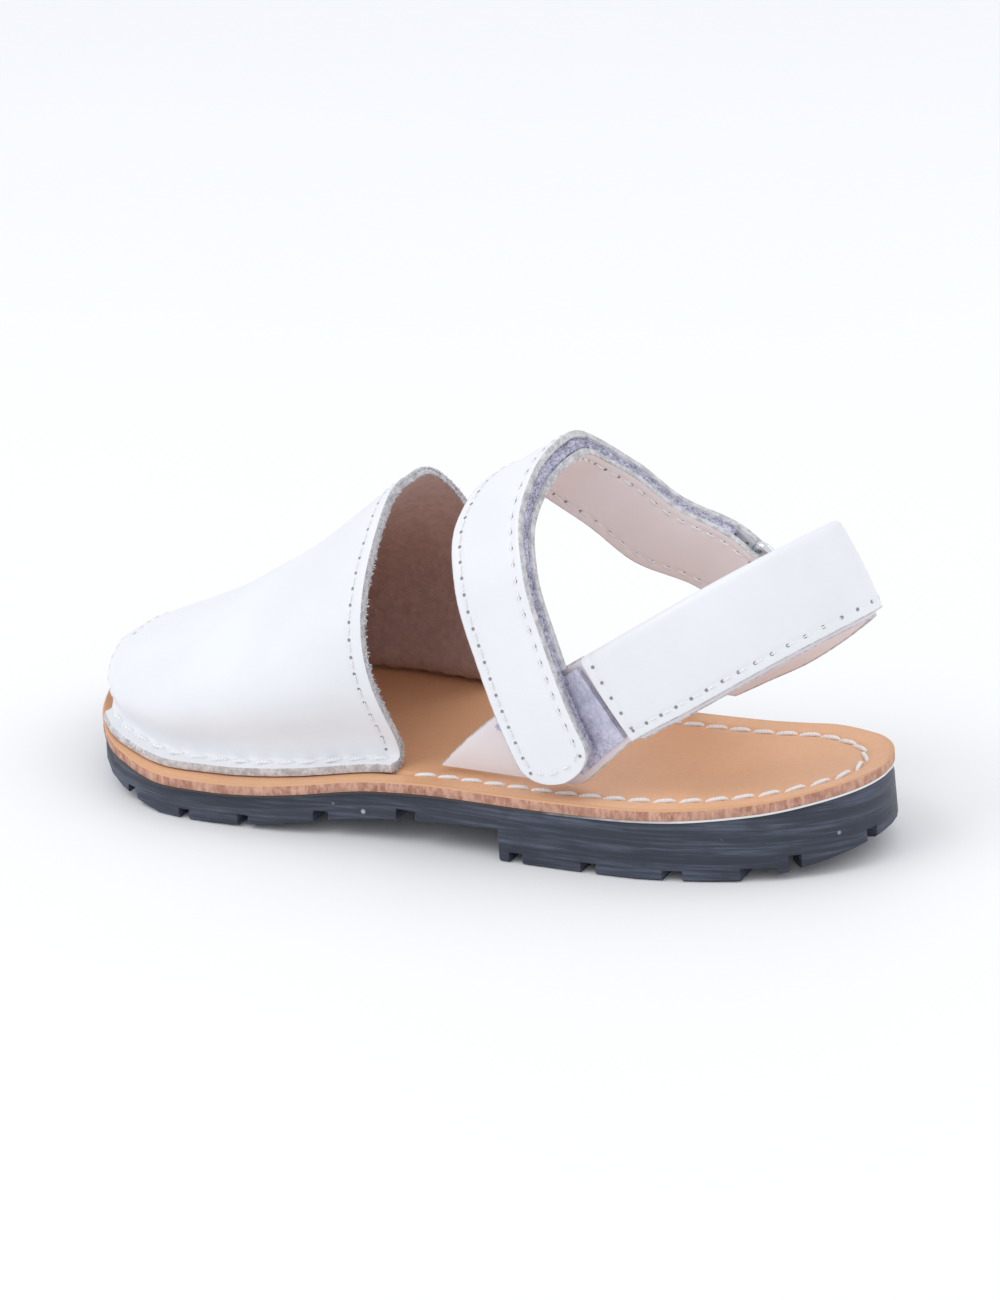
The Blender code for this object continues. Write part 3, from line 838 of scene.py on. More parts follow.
class Net:
    """Adds nodes to a material or a group, with their values and links."""

    def __init__(self, tree: bpy.types.NodeTree) -> None:
        """Keeps the tree.

        Args:
            tree: The node tree to add to.
        """
        self.tree = tree

    def add(self, kind: str, settings: dict | None = None, **inputs: object) -> bpy.types.Node:
        """Adds a node.

        Args:
            kind: The node's type, without its ShaderNode prefix.
            settings: Attributes to set on it.
            inputs: Values or sockets for its inputs, by name with _ for a space, or i and an index.

        Returns:
            The node.
        """
        node = self.tree.nodes.new("ShaderNode" + kind)
        for name, value in (settings or {}).items():
            setattr(node, name, value)
        for name, value in inputs.items():
            key = int(name[1:]) if name[0] == "i" and name[1:].isdigit() else name.replace("_", " ")
            self.feed(node.inputs[key], value)
        return node

    def feed(self, socket: bpy.types.NodeSocket, value: object) -> None:
        """Links a socket to an input, or sets its value.

        Args:
            socket: The input.
            value: A socket or a plain value.
        """
        if isinstance(value, bpy.types.NodeSocket):
            self.tree.links.new(value, socket)
        else:
            socket.default_value = value

    def math(self, operation: str, *values: object) -> bpy.types.NodeSocket:
        """A math node's result.

        Args:
            operation: The node's operation.
            values: Its inputs, in order.

        Returns:
            The result's socket.
        """
        node = self.tree.nodes.new("ShaderNodeMath")
        node.operation = operation
        for socket, value in zip(node.inputs, values):
            self.feed(socket, value)
        return node.outputs[0]

    def total(self, *terms: tuple[object, float]) -> bpy.types.NodeSocket:
        """The sum of two values, each times its weight.

        Args:
            terms: The values with their weights.

        Returns:
            The result's socket.
        """
        return self.math("ADD", *(self.math("MULTIPLY", value, weight) for value, weight in terms))

    def ease(
        self, value: object, low: float, high: float, to_low: float = 0.0, to_high: float = 1.0
    ) -> bpy.types.NodeSocket:
        """A smooth step of a value from low to high.

        Args:
            value: A socket or a plain value.
            low: The value at the low end.
            high: The value at the high end.
            to_low: The result at the low end.
            to_high: The result at the high end.

        Returns:
            The result's socket.
        """
        node = self.add("MapRange", {"interpolation_type": "SMOOTHSTEP"}, Value=value)
        for name, number in (("From Min", low), ("From Max", high), ("To Min", to_low), ("To Max", to_high)):
            node.inputs[name].default_value = number
        return node.outputs[0]

    def blend(self, factor: object, one: object, other: object) -> bpy.types.NodeSocket:
        """A colour between two.

        Args:
            factor: How much of the second colour shows.
            one: The first colour.
            other: The second colour.

        Returns:
            The result's socket.
        """
        node = self.tree.nodes.new("ShaderNodeMix")
        node.data_type = "RGBA"
        for index, value in ((0, factor), (6, one), (7, other)):
            self.feed(node.inputs[index], value)
        return node.outputs[2]

    def noise(self, vector: object, scale: float, detail: float = 3.0, rough: float = 0.55) -> object:
        """A noise value.

        Args:
            vector: The coordinates to read it at.
            scale: Its scale.
            detail: How many finer layers it has.
            rough: How strong the finer layers are.

        Returns:
            The result's socket.
        """
        return self.add("TexNoise", Vector=vector, Scale=scale, Detail=detail, Roughness=rough).outputs[0]

    def stretched(self, vector: object, x: float, y: float, z: float) -> object:
        """A vector with its axes scaled.

        Args:
            vector: The vector to scale.
            x: Scale along X.
            y: Scale along Y.
            z: Scale along Z.

        Returns:
            The result's socket.
        """
        return self.add("Mapping", Vector=vector, Scale=(x, y, z)).outputs[0]


def new_group(name: str, inputs: dict[str, object], outputs: Sequence[str]) -> tuple[Net, dict, dict]:
    """Makes an empty node group.

    Args:
        name: The group's name.
        inputs: Input names with their defaults: a number, or None for a vector.
        outputs: Names of its values.

    Returns:
        The net, its input sockets and its output sockets, by name.
    """
    tree = bpy.data.node_groups.new(name, "ShaderNodeTree")
    for key, default in inputs.items():
        kind = "NodeSocketVector" if default is None else "NodeSocketFloat"
        socket = tree.interface.new_socket(key, in_out="INPUT", socket_type=kind)
        if default is not None:
            socket.default_value = default
    for key in outputs:
        tree.interface.new_socket(key, in_out="OUTPUT", socket_type="NodeSocketFloat")
    start, end = tree.nodes.new("NodeGroupInput"), tree.nodes.new("NodeGroupOutput")
    return Net(tree), {k: start.outputs[k] for k in inputs}, {k: end.inputs[k] for k in outputs}


def grain_group() -> bpy.types.NodeTree:
    """Leather grain: fine cells with softer folds between them.

    Returns:
        The group's tree.
    """
    net, given, made = new_group("leather_grain", {"Vector": None, "Cells": 1600.0}, ["Height"])
    cells = net.add("TexVoronoi", {"feature": "SMOOTH_F1"}, Vector=given["Vector"], Scale=given["Cells"])
    fold = net.add("TexNoise", Vector=given["Vector"], Scale=net.math("MULTIPLY", given["Cells"], 0.32))
    fold.inputs["Detail"].default_value = 4.0
    net.feed(made["Height"], net.math("ADD", net.math("MULTIPLY", cells.outputs[0], 0.6), fold.outputs[0]))
    return net.tree


def bed_group() -> bpy.types.NodeTree:
    """A sewn row's holes and the trough that the thread pulls, from distances across and along it.

    Returns:
        The group's tree.
    """
    given_names = {"Across": 0.0, "Along": 0.0, "Pitch": 3.3, "Hole": 0.42}
    net, given, made = new_group("stitch_bed", given_names, ["Hole", "Dent"])
    step = net.math("DIVIDE", given["Along"], given["Pitch"])
    local = net.math("SUBTRACT", net.math("FRACT", net.math("ADD", step, 0.5)), 0.5)
    local = net.math("MULTIPLY", local, given["Pitch"])
    squares = [net.math("MULTIPLY", value, value) for value in (local, given["Across"])]
    reach = net.math("DIVIDE", net.math("SQRT", net.math("ADD", *squares)), given["Hole"])
    hole = net.ease(reach, 0.35, 1.0, 1.0, 0.0)
    trough = net.ease(net.math("ABSOLUTE", given["Across"]), 0.0, 1.1, 1.0, 0.0)
    net.feed(made["Hole"], hole)
    net.feed(made["Dent"], net.total((hole, -0.35), (trough, -0.12)))
    return net.tree


def fibre_group() -> bpy.types.NodeTree:
    """Fibres of cut leather, suede or pile: streaks and specks.

    Returns:
        The group's tree.
    """
    net, given, made = new_group("cut_fibres", {"Vector": None, "Scale": 1500.0}, ["Streak", "Height"])
    coarse = net.add("TexNoise", Vector=given["Vector"], Scale=net.math("MULTIPLY", given["Scale"], 0.35))
    fine = net.add("TexNoise", Vector=given["Vector"], Scale=given["Scale"], Detail=5.0, Roughness=0.7)
    mixed = net.total((coarse.outputs[0], 0.5), (fine.outputs[0], 0.5))
    net.feed(made["Streak"], net.ease(mixed, 0.36, 0.64))
    net.feed(made["Height"], mixed)
    return net.tree


@dataclass(frozen=True)
class Bed:
    """A row of stitches as a leather's pattern knows it."""

    axis: Axis
    place: float
    pitch: float = 3.3
    both_sides: bool = False
    hole: float = 0.42
    start: float = 0.0


@dataclass(frozen=True)
class Finish:
    """A colour with its roughness and the depth of its bump in millimetres."""

    name: str
    colour: tuple[float, float, float]
    roughness: float
    depth: float

    def begin(self, name: str) -> tuple[Net, bpy.types.Node, bpy.types.Material]:
        """A material with its net and shader.

        Args:
            name: The name to give.

        Returns:
            The net, the shader and the material.
        """
        material = bpy.data.materials.new(name)
        material.use_nodes = True
        return Net(material.node_tree), material.node_tree.nodes["Principled BSDF"], material

    def bump(self, net: Net, shader: bpy.types.Node, height: object) -> None:
        """Feeds a height in millimetres to the shader's normal.

        Args:
            net: The material's net.
            shader: Its shader.
            height: The height in millimetres.
        """
        node = net.add("Bump", Height=height, Distance=1 / MM, Strength=1.0)
        net.feed(shader.inputs["Normal"], node.outputs[0])

    def rough(self, net: Net, shader: bpy.types.Node, value: object, span: tuple) -> None:
        """Lets the roughness follow a value.

        Args:
            net: The material's net.
            shader: Its shader.
            value: The value to follow.
            span: The value's low and high end, and what each adds to the roughness.
        """
        low, high, less, more = span
        result = net.ease(value, low, high, self.roughness + less, self.roughness + more)
        net.feed(shader.inputs["Roughness"], result)

    def shades(self, factor: float) -> tuple[float, float, float, float]:
        """The colour, made darker or lighter.

        Args:
            factor: What the colour is multiplied by.

        Returns:
            A colour with full alpha.
        """
        return (*(min(c * factor, 1.0) for c in self.colour), 1.0)


@dataclass(frozen=True)
class Leather(Finish):
    """Grained or smooth leather with sewn rows."""

    cells: float = 1600.0
    coat: float = 0.0

    def material(self, name: str, beds: Sequence[Bed] = ()) -> bpy.types.Material:
        """Builds the material.

        Args:
            name: The material's name.
            beds: Rows of stitches across the piece's chart.

        Returns:
            The material.
        """
        net, shader, material = self.begin(name)
        here = net.add("TexCoord").outputs["Object"]
        grain = net.add("Group", {"node_tree": GROUPS["grain"]}, Vector=here, Cells=self.cells).outputs[0]
        cloud = net.noise(here, 38.0)
        tint = net.blend(net.ease(cloud, 0.3, 0.75), self.shades(0.965), self.shades(1.02))
        height = net.math("MULTIPLY", grain, self.depth)
        if beds:
            chart = net.add("SeparateXYZ", Vector=net.add("UVMap", {"uv_map": CHART}).outputs[0])
            for bed in beds:
                run = chart.outputs[bed.axis.value]
                side = chart.outputs["Y" if bed.axis is Axis.ALONG else "X"]
                if bed.both_sides:
                    side = net.math("ABSOLUTE", side)
                sewn = net.add("Group", {"node_tree": GROUPS["bed"]}, Pitch=bed.pitch, Hole=bed.hole)
                net.feed(sewn.inputs["Across"], net.math("SUBTRACT", side, bed.place))
                net.feed(sewn.inputs["Along"], net.math("SUBTRACT", run, bed.start))
                # Painted shade: the needle holes are darkened towards near-black.
                tint = net.blend(net.math("MULTIPLY", sewn.outputs["Hole"], 0.7), tint, HOLE_SHADE_COLOUR)
                height = net.math("ADD", height, sewn.outputs["Dent"])
        net.feed(shader.inputs["Base Color"], tint)
        self.rough(net, shader, cloud, (0.25, 0.8, -0.05, 0.06))
        shader.inputs["Coat Weight"].default_value = self.coat
        shader.inputs["Coat Roughness"].default_value = 0.3
        self.bump(net, shader, height)
        return material


@dataclass(frozen=True)
class Fibrous(Finish):
    """Cut edges, suede and pile: two tones of fibre with a deep soft bump."""

    other: tuple[float, float, float] = (0.5, 0.5, 0.5)
    scale: float = 1500.0
    stretch: tuple[float, float, float] = (1.0, 1.0, 1.0)
    sheen: float = 0.0

    def material(self, name: str) -> bpy.types.Material:
        """Builds the material.

        Args:
            name: The name to give.

        Returns:
            The material.
        """
        net, shader, material = self.begin(name)
        here = net.stretched(net.add("TexCoord").outputs["Object"], *self.stretch)
        fibres = net.add("Group", {"node_tree": GROUPS["fibres"]}, Vector=here, Scale=self.scale)
        cloud = net.noise(here, self.scale / 18)
        tint = net.blend(fibres.outputs["Streak"], (*self.other, 1.0), self.shades(1.0))
        tint = net.blend(net.ease(cloud, 0.35, 0.7, 0.0, 0.35), tint, self.shades(0.86))
        net.feed(shader.inputs["Base Color"], tint)
        self.rough(net, shader, cloud, (0.2, 0.8, -0.05, 0.05))
        shader.inputs["Sheen Weight"].default_value = self.sheen
        self.bump(net, shader, net.math("MULTIPLY", fibres.outputs["Height"], self.depth))
        return material


@dataclass(frozen=True)
class Rubber(Finish):
    """Black rubber with fine level lines from buffing, and a few pale specks."""

    line: tuple[float, float, float] = (0.092, 0.107, 0.155)
    speck: tuple[float, float, float] = (0.5, 0.52, 0.56)

    def material(self, name: str) -> bpy.types.Material:
        """Builds the material.

        Args:
            name: The name to give.

        Returns:
            The material.
        """
        net, shader, material = self.begin(name)
        here = net.add("TexCoord").outputs["Object"]
        level = net.stretched(here, 60.0, 60.0, 1500.0)
        lines = net.noise(level, 1.0, 4.0, 0.65)
        broad = net.noise(net.stretched(here, 30.0, 30.0, 320.0), 1.0, 3.0)
        cloud = net.noise(here, 160.0, 4.0)
        mixed = net.total((lines, 0.65), (broad, 0.35))
        tint = net.blend(net.ease(mixed, 0.44, 0.68), self.shades(1.0), (*self.line, 1.0))
        tint = net.blend(net.ease(cloud, 0.45, 0.75, 0.0, 0.5), tint, self.shades(0.7))
        dots = net.add("TexVoronoi", Vector=here, Scale=210.0)
        chance = net.ease(net.noise(here, 240.0, 1.0), 0.53, 0.6)
        speck = net.math("MULTIPLY", net.ease(dots.outputs[0], 0.05, 0.13, 1.0, 0.0), chance)
        tint = net.blend(net.math("MULTIPLY", speck, 0.75), tint, (*self.speck, 1.0))
        net.feed(shader.inputs["Base Color"], tint)
        self.rough(net, shader, lines, (0.3, 0.75, -0.1, 0.14))
        self.bump(net, shader, net.total((mixed, self.depth), (cloud, 0.05)))
        return material


@dataclass(frozen=True)
class Board(Finish):
    """The insole's smooth tan leather, darker where it is burnished near its edge."""

    burnish: tuple[float, float, float] = (0.55, 0.29, 0.13)

    def material(self, name: str) -> bpy.types.Material:
        """Builds the material. The chart's first axis holds the distance from the edge.

        Args:
            name: The name to give.

        Returns:
            The material.
        """
        net, shader, material = self.begin(name)
        here = net.add("TexCoord").outputs["Object"]
        edge = net.add("SeparateXYZ", Vector=net.add("UVMap", {"uv_map": CHART}).outputs[0]).outputs["X"]
        cloud = net.noise(here, 30.0, 4.0)
        fine = net.noise(here, 900.0, 4.0, 0.6)
        tint = net.blend(net.ease(cloud, 0.3, 0.72), self.shades(0.93), self.shades(1.05))
        tint = net.blend(net.ease(fine, 0.35, 0.75, 0.0, 0.12), tint, (*self.burnish, 1.0))
        tint = net.blend(net.ease(edge, 0.0, 1.3, 0.5, 0.0), tint, (*self.burnish, 1.0))
        net.feed(shader.inputs["Base Color"], tint)
        self.rough(net, shader, fine, (0.2, 0.8, -0.06, 0.08))
        grain = net.add("Group", {"node_tree": GROUPS["grain"]}, Vector=here, Cells=1300.0).outputs[0]
        self.bump(net, shader, net.math("MULTIPLY", grain, self.depth))
        return material


@dataclass(frozen=True)
class Thread(Finish):
    """Waxed thread with its twist."""

    def material(self, name: str) -> bpy.types.Material:
        """Builds the material.

        Args:
            name: The name to give.

        Returns:
            The material.
        """
        net, shader, material = self.begin(name)
        here = net.add("TexCoord").outputs["Object"]
        twist = net.add("TexWave", {"bands_direction": "DIAGONAL"}, Vector=here, Scale=900.0, Distortion=1.5)
        tint = net.blend(net.ease(twist.outputs[1], 0.1, 0.8), self.shades(0.86), self.shades(1.0))
        net.feed(shader.inputs["Base Color"], tint)
        shader.inputs["Roughness"].default_value = self.roughness
        self.bump(net, shader, net.math("MULTIPLY", twist.outputs[1], self.depth))
        return material


@dataclass(frozen=True)
class Metal(Finish):
    """Plated wire with faint drawing lines."""

    def material(self, name: str) -> bpy.types.Material:
        """Builds the material.

        Args:
            name: The name to give.

        Returns:
            The material.
        """
        net, shader, material = self.begin(name)
        here = net.add("TexCoord").outputs["Object"]
        smear = net.noise(here, 500.0, 4.0)
        tint = net.blend(net.ease(smear, 0.3, 0.7), self.shades(0.9), self.shades(1.0))
        net.feed(shader.inputs["Base Color"], tint)
        self.rough(net, shader, smear, (0.3, 0.8, 0.0, 0.12))
        shader.inputs["Metallic"].default_value = 1.0
        self.bump(net, shader, net.math("MULTIPLY", smear, self.depth))
        return material


@dataclass(frozen=True)
class CementHighlight(Finish):
    """The glue line between insole and rubber, with a painted highlight: pale round the heel, dark further
    forward.
    """

    dark: tuple[float, float, float] = (0.05, 0.04, 0.04)

    def material(self, name: str) -> bpy.types.Material:
        """Builds the material.

        Args:
            name: The name to give.

        Returns:
            The material.
        """
        net, shader, material = self.begin(name)
        here = net.add("TexCoord").outputs["Object"]
        ahead = net.add("SeparateXYZ", Vector=here).outputs["X"]
        patchy = net.math("ADD", ahead, net.math("MULTIPLY", net.noise(here, 220.0), 0.03))
        # Painted highlight: the pale colour round the heel; darker further forward.
        tint = net.blend(net.ease(patchy, 0.005, 0.04), self.shades(1.0), (*self.dark, 1.0))
        net.feed(shader.inputs["Base Color"], tint)
        shader.inputs["Roughness"].default_value = self.roughness
        self.bump(net, shader, net.math("MULTIPLY", net.noise(here, 900.0), self.depth))
        return material


WHITE = Leather("white_leather", (0.83, 0.84, 0.87), 0.42, 0.03, cells=1500.0, coat=0.06)
LINING = Leather("lining", (0.84, 0.78, 0.80), 0.55, 0.03, cells=1900.0)
SUEDE = Fibrous("suede", (0.56, 0.40, 0.37), 0.95, 0.12, other=(0.44, 0.31, 0.28), scale=1700.0, sheen=0.1)
RAW_EDGE = Fibrous("raw_edge", (0.72, 0.72, 0.74), 0.85, 0.25, other=(0.40, 0.39, 0.40), scale=1900.0)
BOARD_EDGE = Fibrous(
    "board_edge",
    (0.70, 0.41, 0.30),
    0.8,
    0.3,
    other=(0.34, 0.135, 0.09),
    scale=1300.0,
    stretch=(1.4, 1.4, 0.6),
)
PILE = Fibrous("pile", (0.70, 0.69, 0.83), 0.9, 0.35, other=(0.42, 0.41, 0.55), scale=1500.0, sheen=0.3)
FLUFF = Fibrous("fluff", (0.80, 0.80, 0.84), 0.8, 0.02, other=(0.66, 0.66, 0.70), scale=1500.0, sheen=0.2)
TAN = Board("insole_leather", (0.80, 0.44, 0.245), 0.42, 0.025)
BLACK = Rubber("rubber", (0.022, 0.028, 0.047), 0.5, 0.18)
SEWING = Thread("thread", (0.90, 0.90, 0.91), 0.55, 0.04)
STEEL = Metal("ring_metal", (0.80, 0.83, 0.86), 0.12, 0.01)
# Painted highlight: this pale colour stands for the highlight along the rubber's top edge.
GLUE_HIGHLIGHT = CementHighlight("cement", (0.78, 0.76, 0.75), 0.5, 0.05)


@dataclass
class Sole:
    """Rubber, the glue line over it with its painted highlight, and the insole board."""

    bevel: float = 0.28
    glue_inset: float = 0.06
    groove_at: float = 5.3
    groove_depth: float = 0.4
    groove_wide: float = 0.75
    stitch: StitchRow = StitchRow(pitch=4.9, thread=0.9, fill=1.02, yaw=13.0, sink=0.12)

    def build(self) -> None:
        """Makes and dresses all the sole's pieces."""
        self.rubber()
        self.glue()
        self.board()
        self.seam()

    def rubber(self) -> None:
        """The CAD outsole, merged, with its edges broken."""
        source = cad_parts["outsole"]
        obj = bpy.data.objects.new("outsole_rubber", source.data.copy())
        bpy.context.scene.collection.objects.link(obj)
        with editing(obj):
            bpy.ops.mesh.remove_doubles(threshold=5e-6)
            bpy.ops.mesh.dissolve_limited(angle_limit=math.radians(0.5))
        bevel = obj.modifiers.new("broken_edges", "BEVEL")
        bevel.width = self.bevel / MM
        bevel.segments = 2
        bevel.limit_method = "ANGLE"
        bevel.angle_limit = math.radians(42)
        apply_modifiers(obj)
        smooth_by_angle(obj, 38)
        put_on(obj, [BLACK.material("sole_rubber")], "rubber", "outsole")

    def slab(
        self, name: str, inset: float, bottom: float, top: float, steps: tuple[int, int]
    ) -> bpy.types.Object:
        """A thin sheet of the insole's outline that follows the seat.

        Args:
            name: The piece's name.
            inset: Distance of its rim from the insole's edge.
            bottom: Its underside above the rubber.
            top: Its upper side above the rubber.
            steps: Faces along and across.

        Returns:
            The sheet.
        """
        reach = LAST.length / 2 - inset
        x = LAST.length / 2 - reach * np.cos(np.pi * np.linspace(END_TRIM, 1 - END_TRIM, steps[0] + 1))
        part = (1 - np.cos(np.linspace(0, np.pi, steps[1] + 1))) / 2
        lateral = LAST.half_width(x, Side.LATERAL) - inset
        medial = LAST.half_width(x, Side.MEDIAL) - inset
        lateral = np.maximum(lateral, -medial)
        y = -medial[:, None] + (lateral + medial)[:, None] * part
        across = np.broadcast_to(x[:, None], y.shape)
        height = np.broadcast_to((LAST.seat(x) + top)[:, None], y.shape)
        obj = lay_grid(name, np.stack([across, y, height], 2), np.stack([across, y], 2))
        wall = obj.modifiers.new("wall", "SOLIDIFY")
        wall.thickness = (top - bottom) / MM
        wall.offset = -1
        apply_modifiers(obj)
        return obj

    def glue(self) -> None:
        """A thin slab that shows as a line between board and rubber; its pale colour round the heel is a
        painted highlight.
        """
        obj = self.slab("glue_highlight_line", self.glue_inset, -0.05, LAST.gap + 0.05, (90, 16))
        smooth_by_angle(obj, STRIP_SHARP)
        put_on(obj, [GLUE_HIGHLIGHT.material("glue_highlight_line")], "insole_leather")

    def board(self) -> None:
        """The insole: dished top with a sewing groove, rounded upper edge and a fibrous side."""
        profile = self.profile()
        rings = [LAST.edge_line(inset) for inset, _, _, _ in profile]
        spine = self.spine(rings[0])
        lattice, chart, parts = [], [], []
        run = travelled(np.concatenate([rings[0], rings[0][:1]]))
        for ring, (inset, share, level, part) in zip(rings, profile):
            ring = ring + (spine - ring) * share
            ring = np.concatenate([ring, ring[:1]])
            edge = np.where(share > 0, inset + 20 * share, inset) + np.zeros(len(ring))
            top = LAST.insole_top(ring[:, 0], ring[:, 1])
            sewn = np.clip((VAMP.throat_at + 4.0 - ring[:, 0]) / 4.0, 0, 1)
            groove = sewn * self.groove_depth * np.exp(-(((edge - self.groove_at) / self.groove_wide) ** 2))
            bottom = LAST.seat(ring[:, 0]) + LAST.gap
            height = bottom - level if level < 0 else top - groove - level
            lattice.append(np.column_stack([ring, height]))
            chart.append(np.stack([edge, run], 1))
            parts.append(part)
        obj = lay_grid("insole_board", np.stack(lattice, 1), np.stack(chart, 1), parts[:-1])
        with editing(obj):
            bpy.ops.mesh.normals_make_consistent(inside=False)
        finishes = [TAN.material("insole_leather"), BOARD_EDGE.material("insole_edge")]
        smooth_by_angle(obj, SHELL_SHARP)
        put_on(obj, finishes, "insole_leather", "insole")

    def profile(self) -> list[tuple[float, float, float, int]]:
        """The board's section from the middle of its underside, round the edge, to the middle of its top.

        Returns:
            For each ring its distance from the edge, its share of the way to the spine, its level (below the
            top, or minus the height above the underside) and the material slot of the face after it.
        """
        under, round_low, round_high = -1e-6, 0.2, 0.5
        inner = 8.0
        rings = [(inner, share, under, 1) for share in (1.0, 0.4, 0.0)] + [(round_low, 0.0, under, 1)]
        rings += [(0.0, 0.0, -round_low, 1), (0.0, 0.0, -0.7 * (LAST.board - round_high), 1)]
        for k in range(5):
            turn = math.radians(90 * k / 4)
            inset, level = round_high * (1 - math.cos(turn)), round_high * (1 - math.sin(turn))
            rings.append((inset, 0.0, level, 0 if k > 0 else 1))
        rings += [(float(inset), 0.0, 0.0, 0) for inset in np.arange(1.0, inner, 0.3)]
        rings += [(inner, share, 0.0, 0) for share in (0.0, 0.12, 0.26, 0.42, 0.6, 0.8, 1.0)]
        return rings

    def spine(self, loop: Array) -> Array:
        """For each point of the outline, the place on the board's middle line that its rings close on.

        Args:
            loop: The outline's points.

        Returns:
            One place for each point of the outline.
        """
        reach = 24.0
        x = np.clip(loop[:, 0], reach, LAST.length - reach)
        middle = (LAST.half_width(x, Side.LATERAL) - LAST.half_width(x, Side.MEDIAL)) / 2
        return np.stack([x, middle], 1)

    def seam(self) -> None:
        """White stitches in the groove, from the vamp's lateral foot round the heel to its medial foot."""
        loop = LAST.edge_line(self.groove_at)
        behind = loop[:, 0] < VAMP.throat_at + 1.0
        split = int(np.argmin(behind))
        restart = len(behind) - int(np.argmin(behind[::-1]))
        loop = np.concatenate([loop[restart:], loop[:split]])
        height = LAST.insole_top(loop[:, 0], loop[:, 1]) - self.groove_depth
        line = np.column_stack([loop, height])
        up = np.tile([0.0, 0.0, 1.0], (len(line), 1))
        obj = self.stitch.sew("insole_stitches", line, up, 0.6)
        put_on(obj, [SEWING.material("insole_thread")], "white_leather")


@dataclass(frozen=True)
class Crease:
    """A soft trough or ridge on the vamp: its place in millimetres on the chart, its reach and its depth."""

    along: float
    across: float
    length: float
    wide: float
    depth: float
    heading: float

    def lift(self, chart: Array) -> Array:
        """How far the crease moves each charted point outwards.

        Args:
            chart: The charted points.

        Returns:
            One distance for each point.
        """
        turn = math.radians(self.heading)
        x, y = chart[..., 0] - self.along, chart[..., 1] - self.across
        run = x * math.cos(turn) + y * math.sin(turn)
        off = y * math.cos(turn) - x * math.sin(turn)
        return self.depth * np.exp(-((run / self.length) ** 2) - (off / self.wide) ** 2)


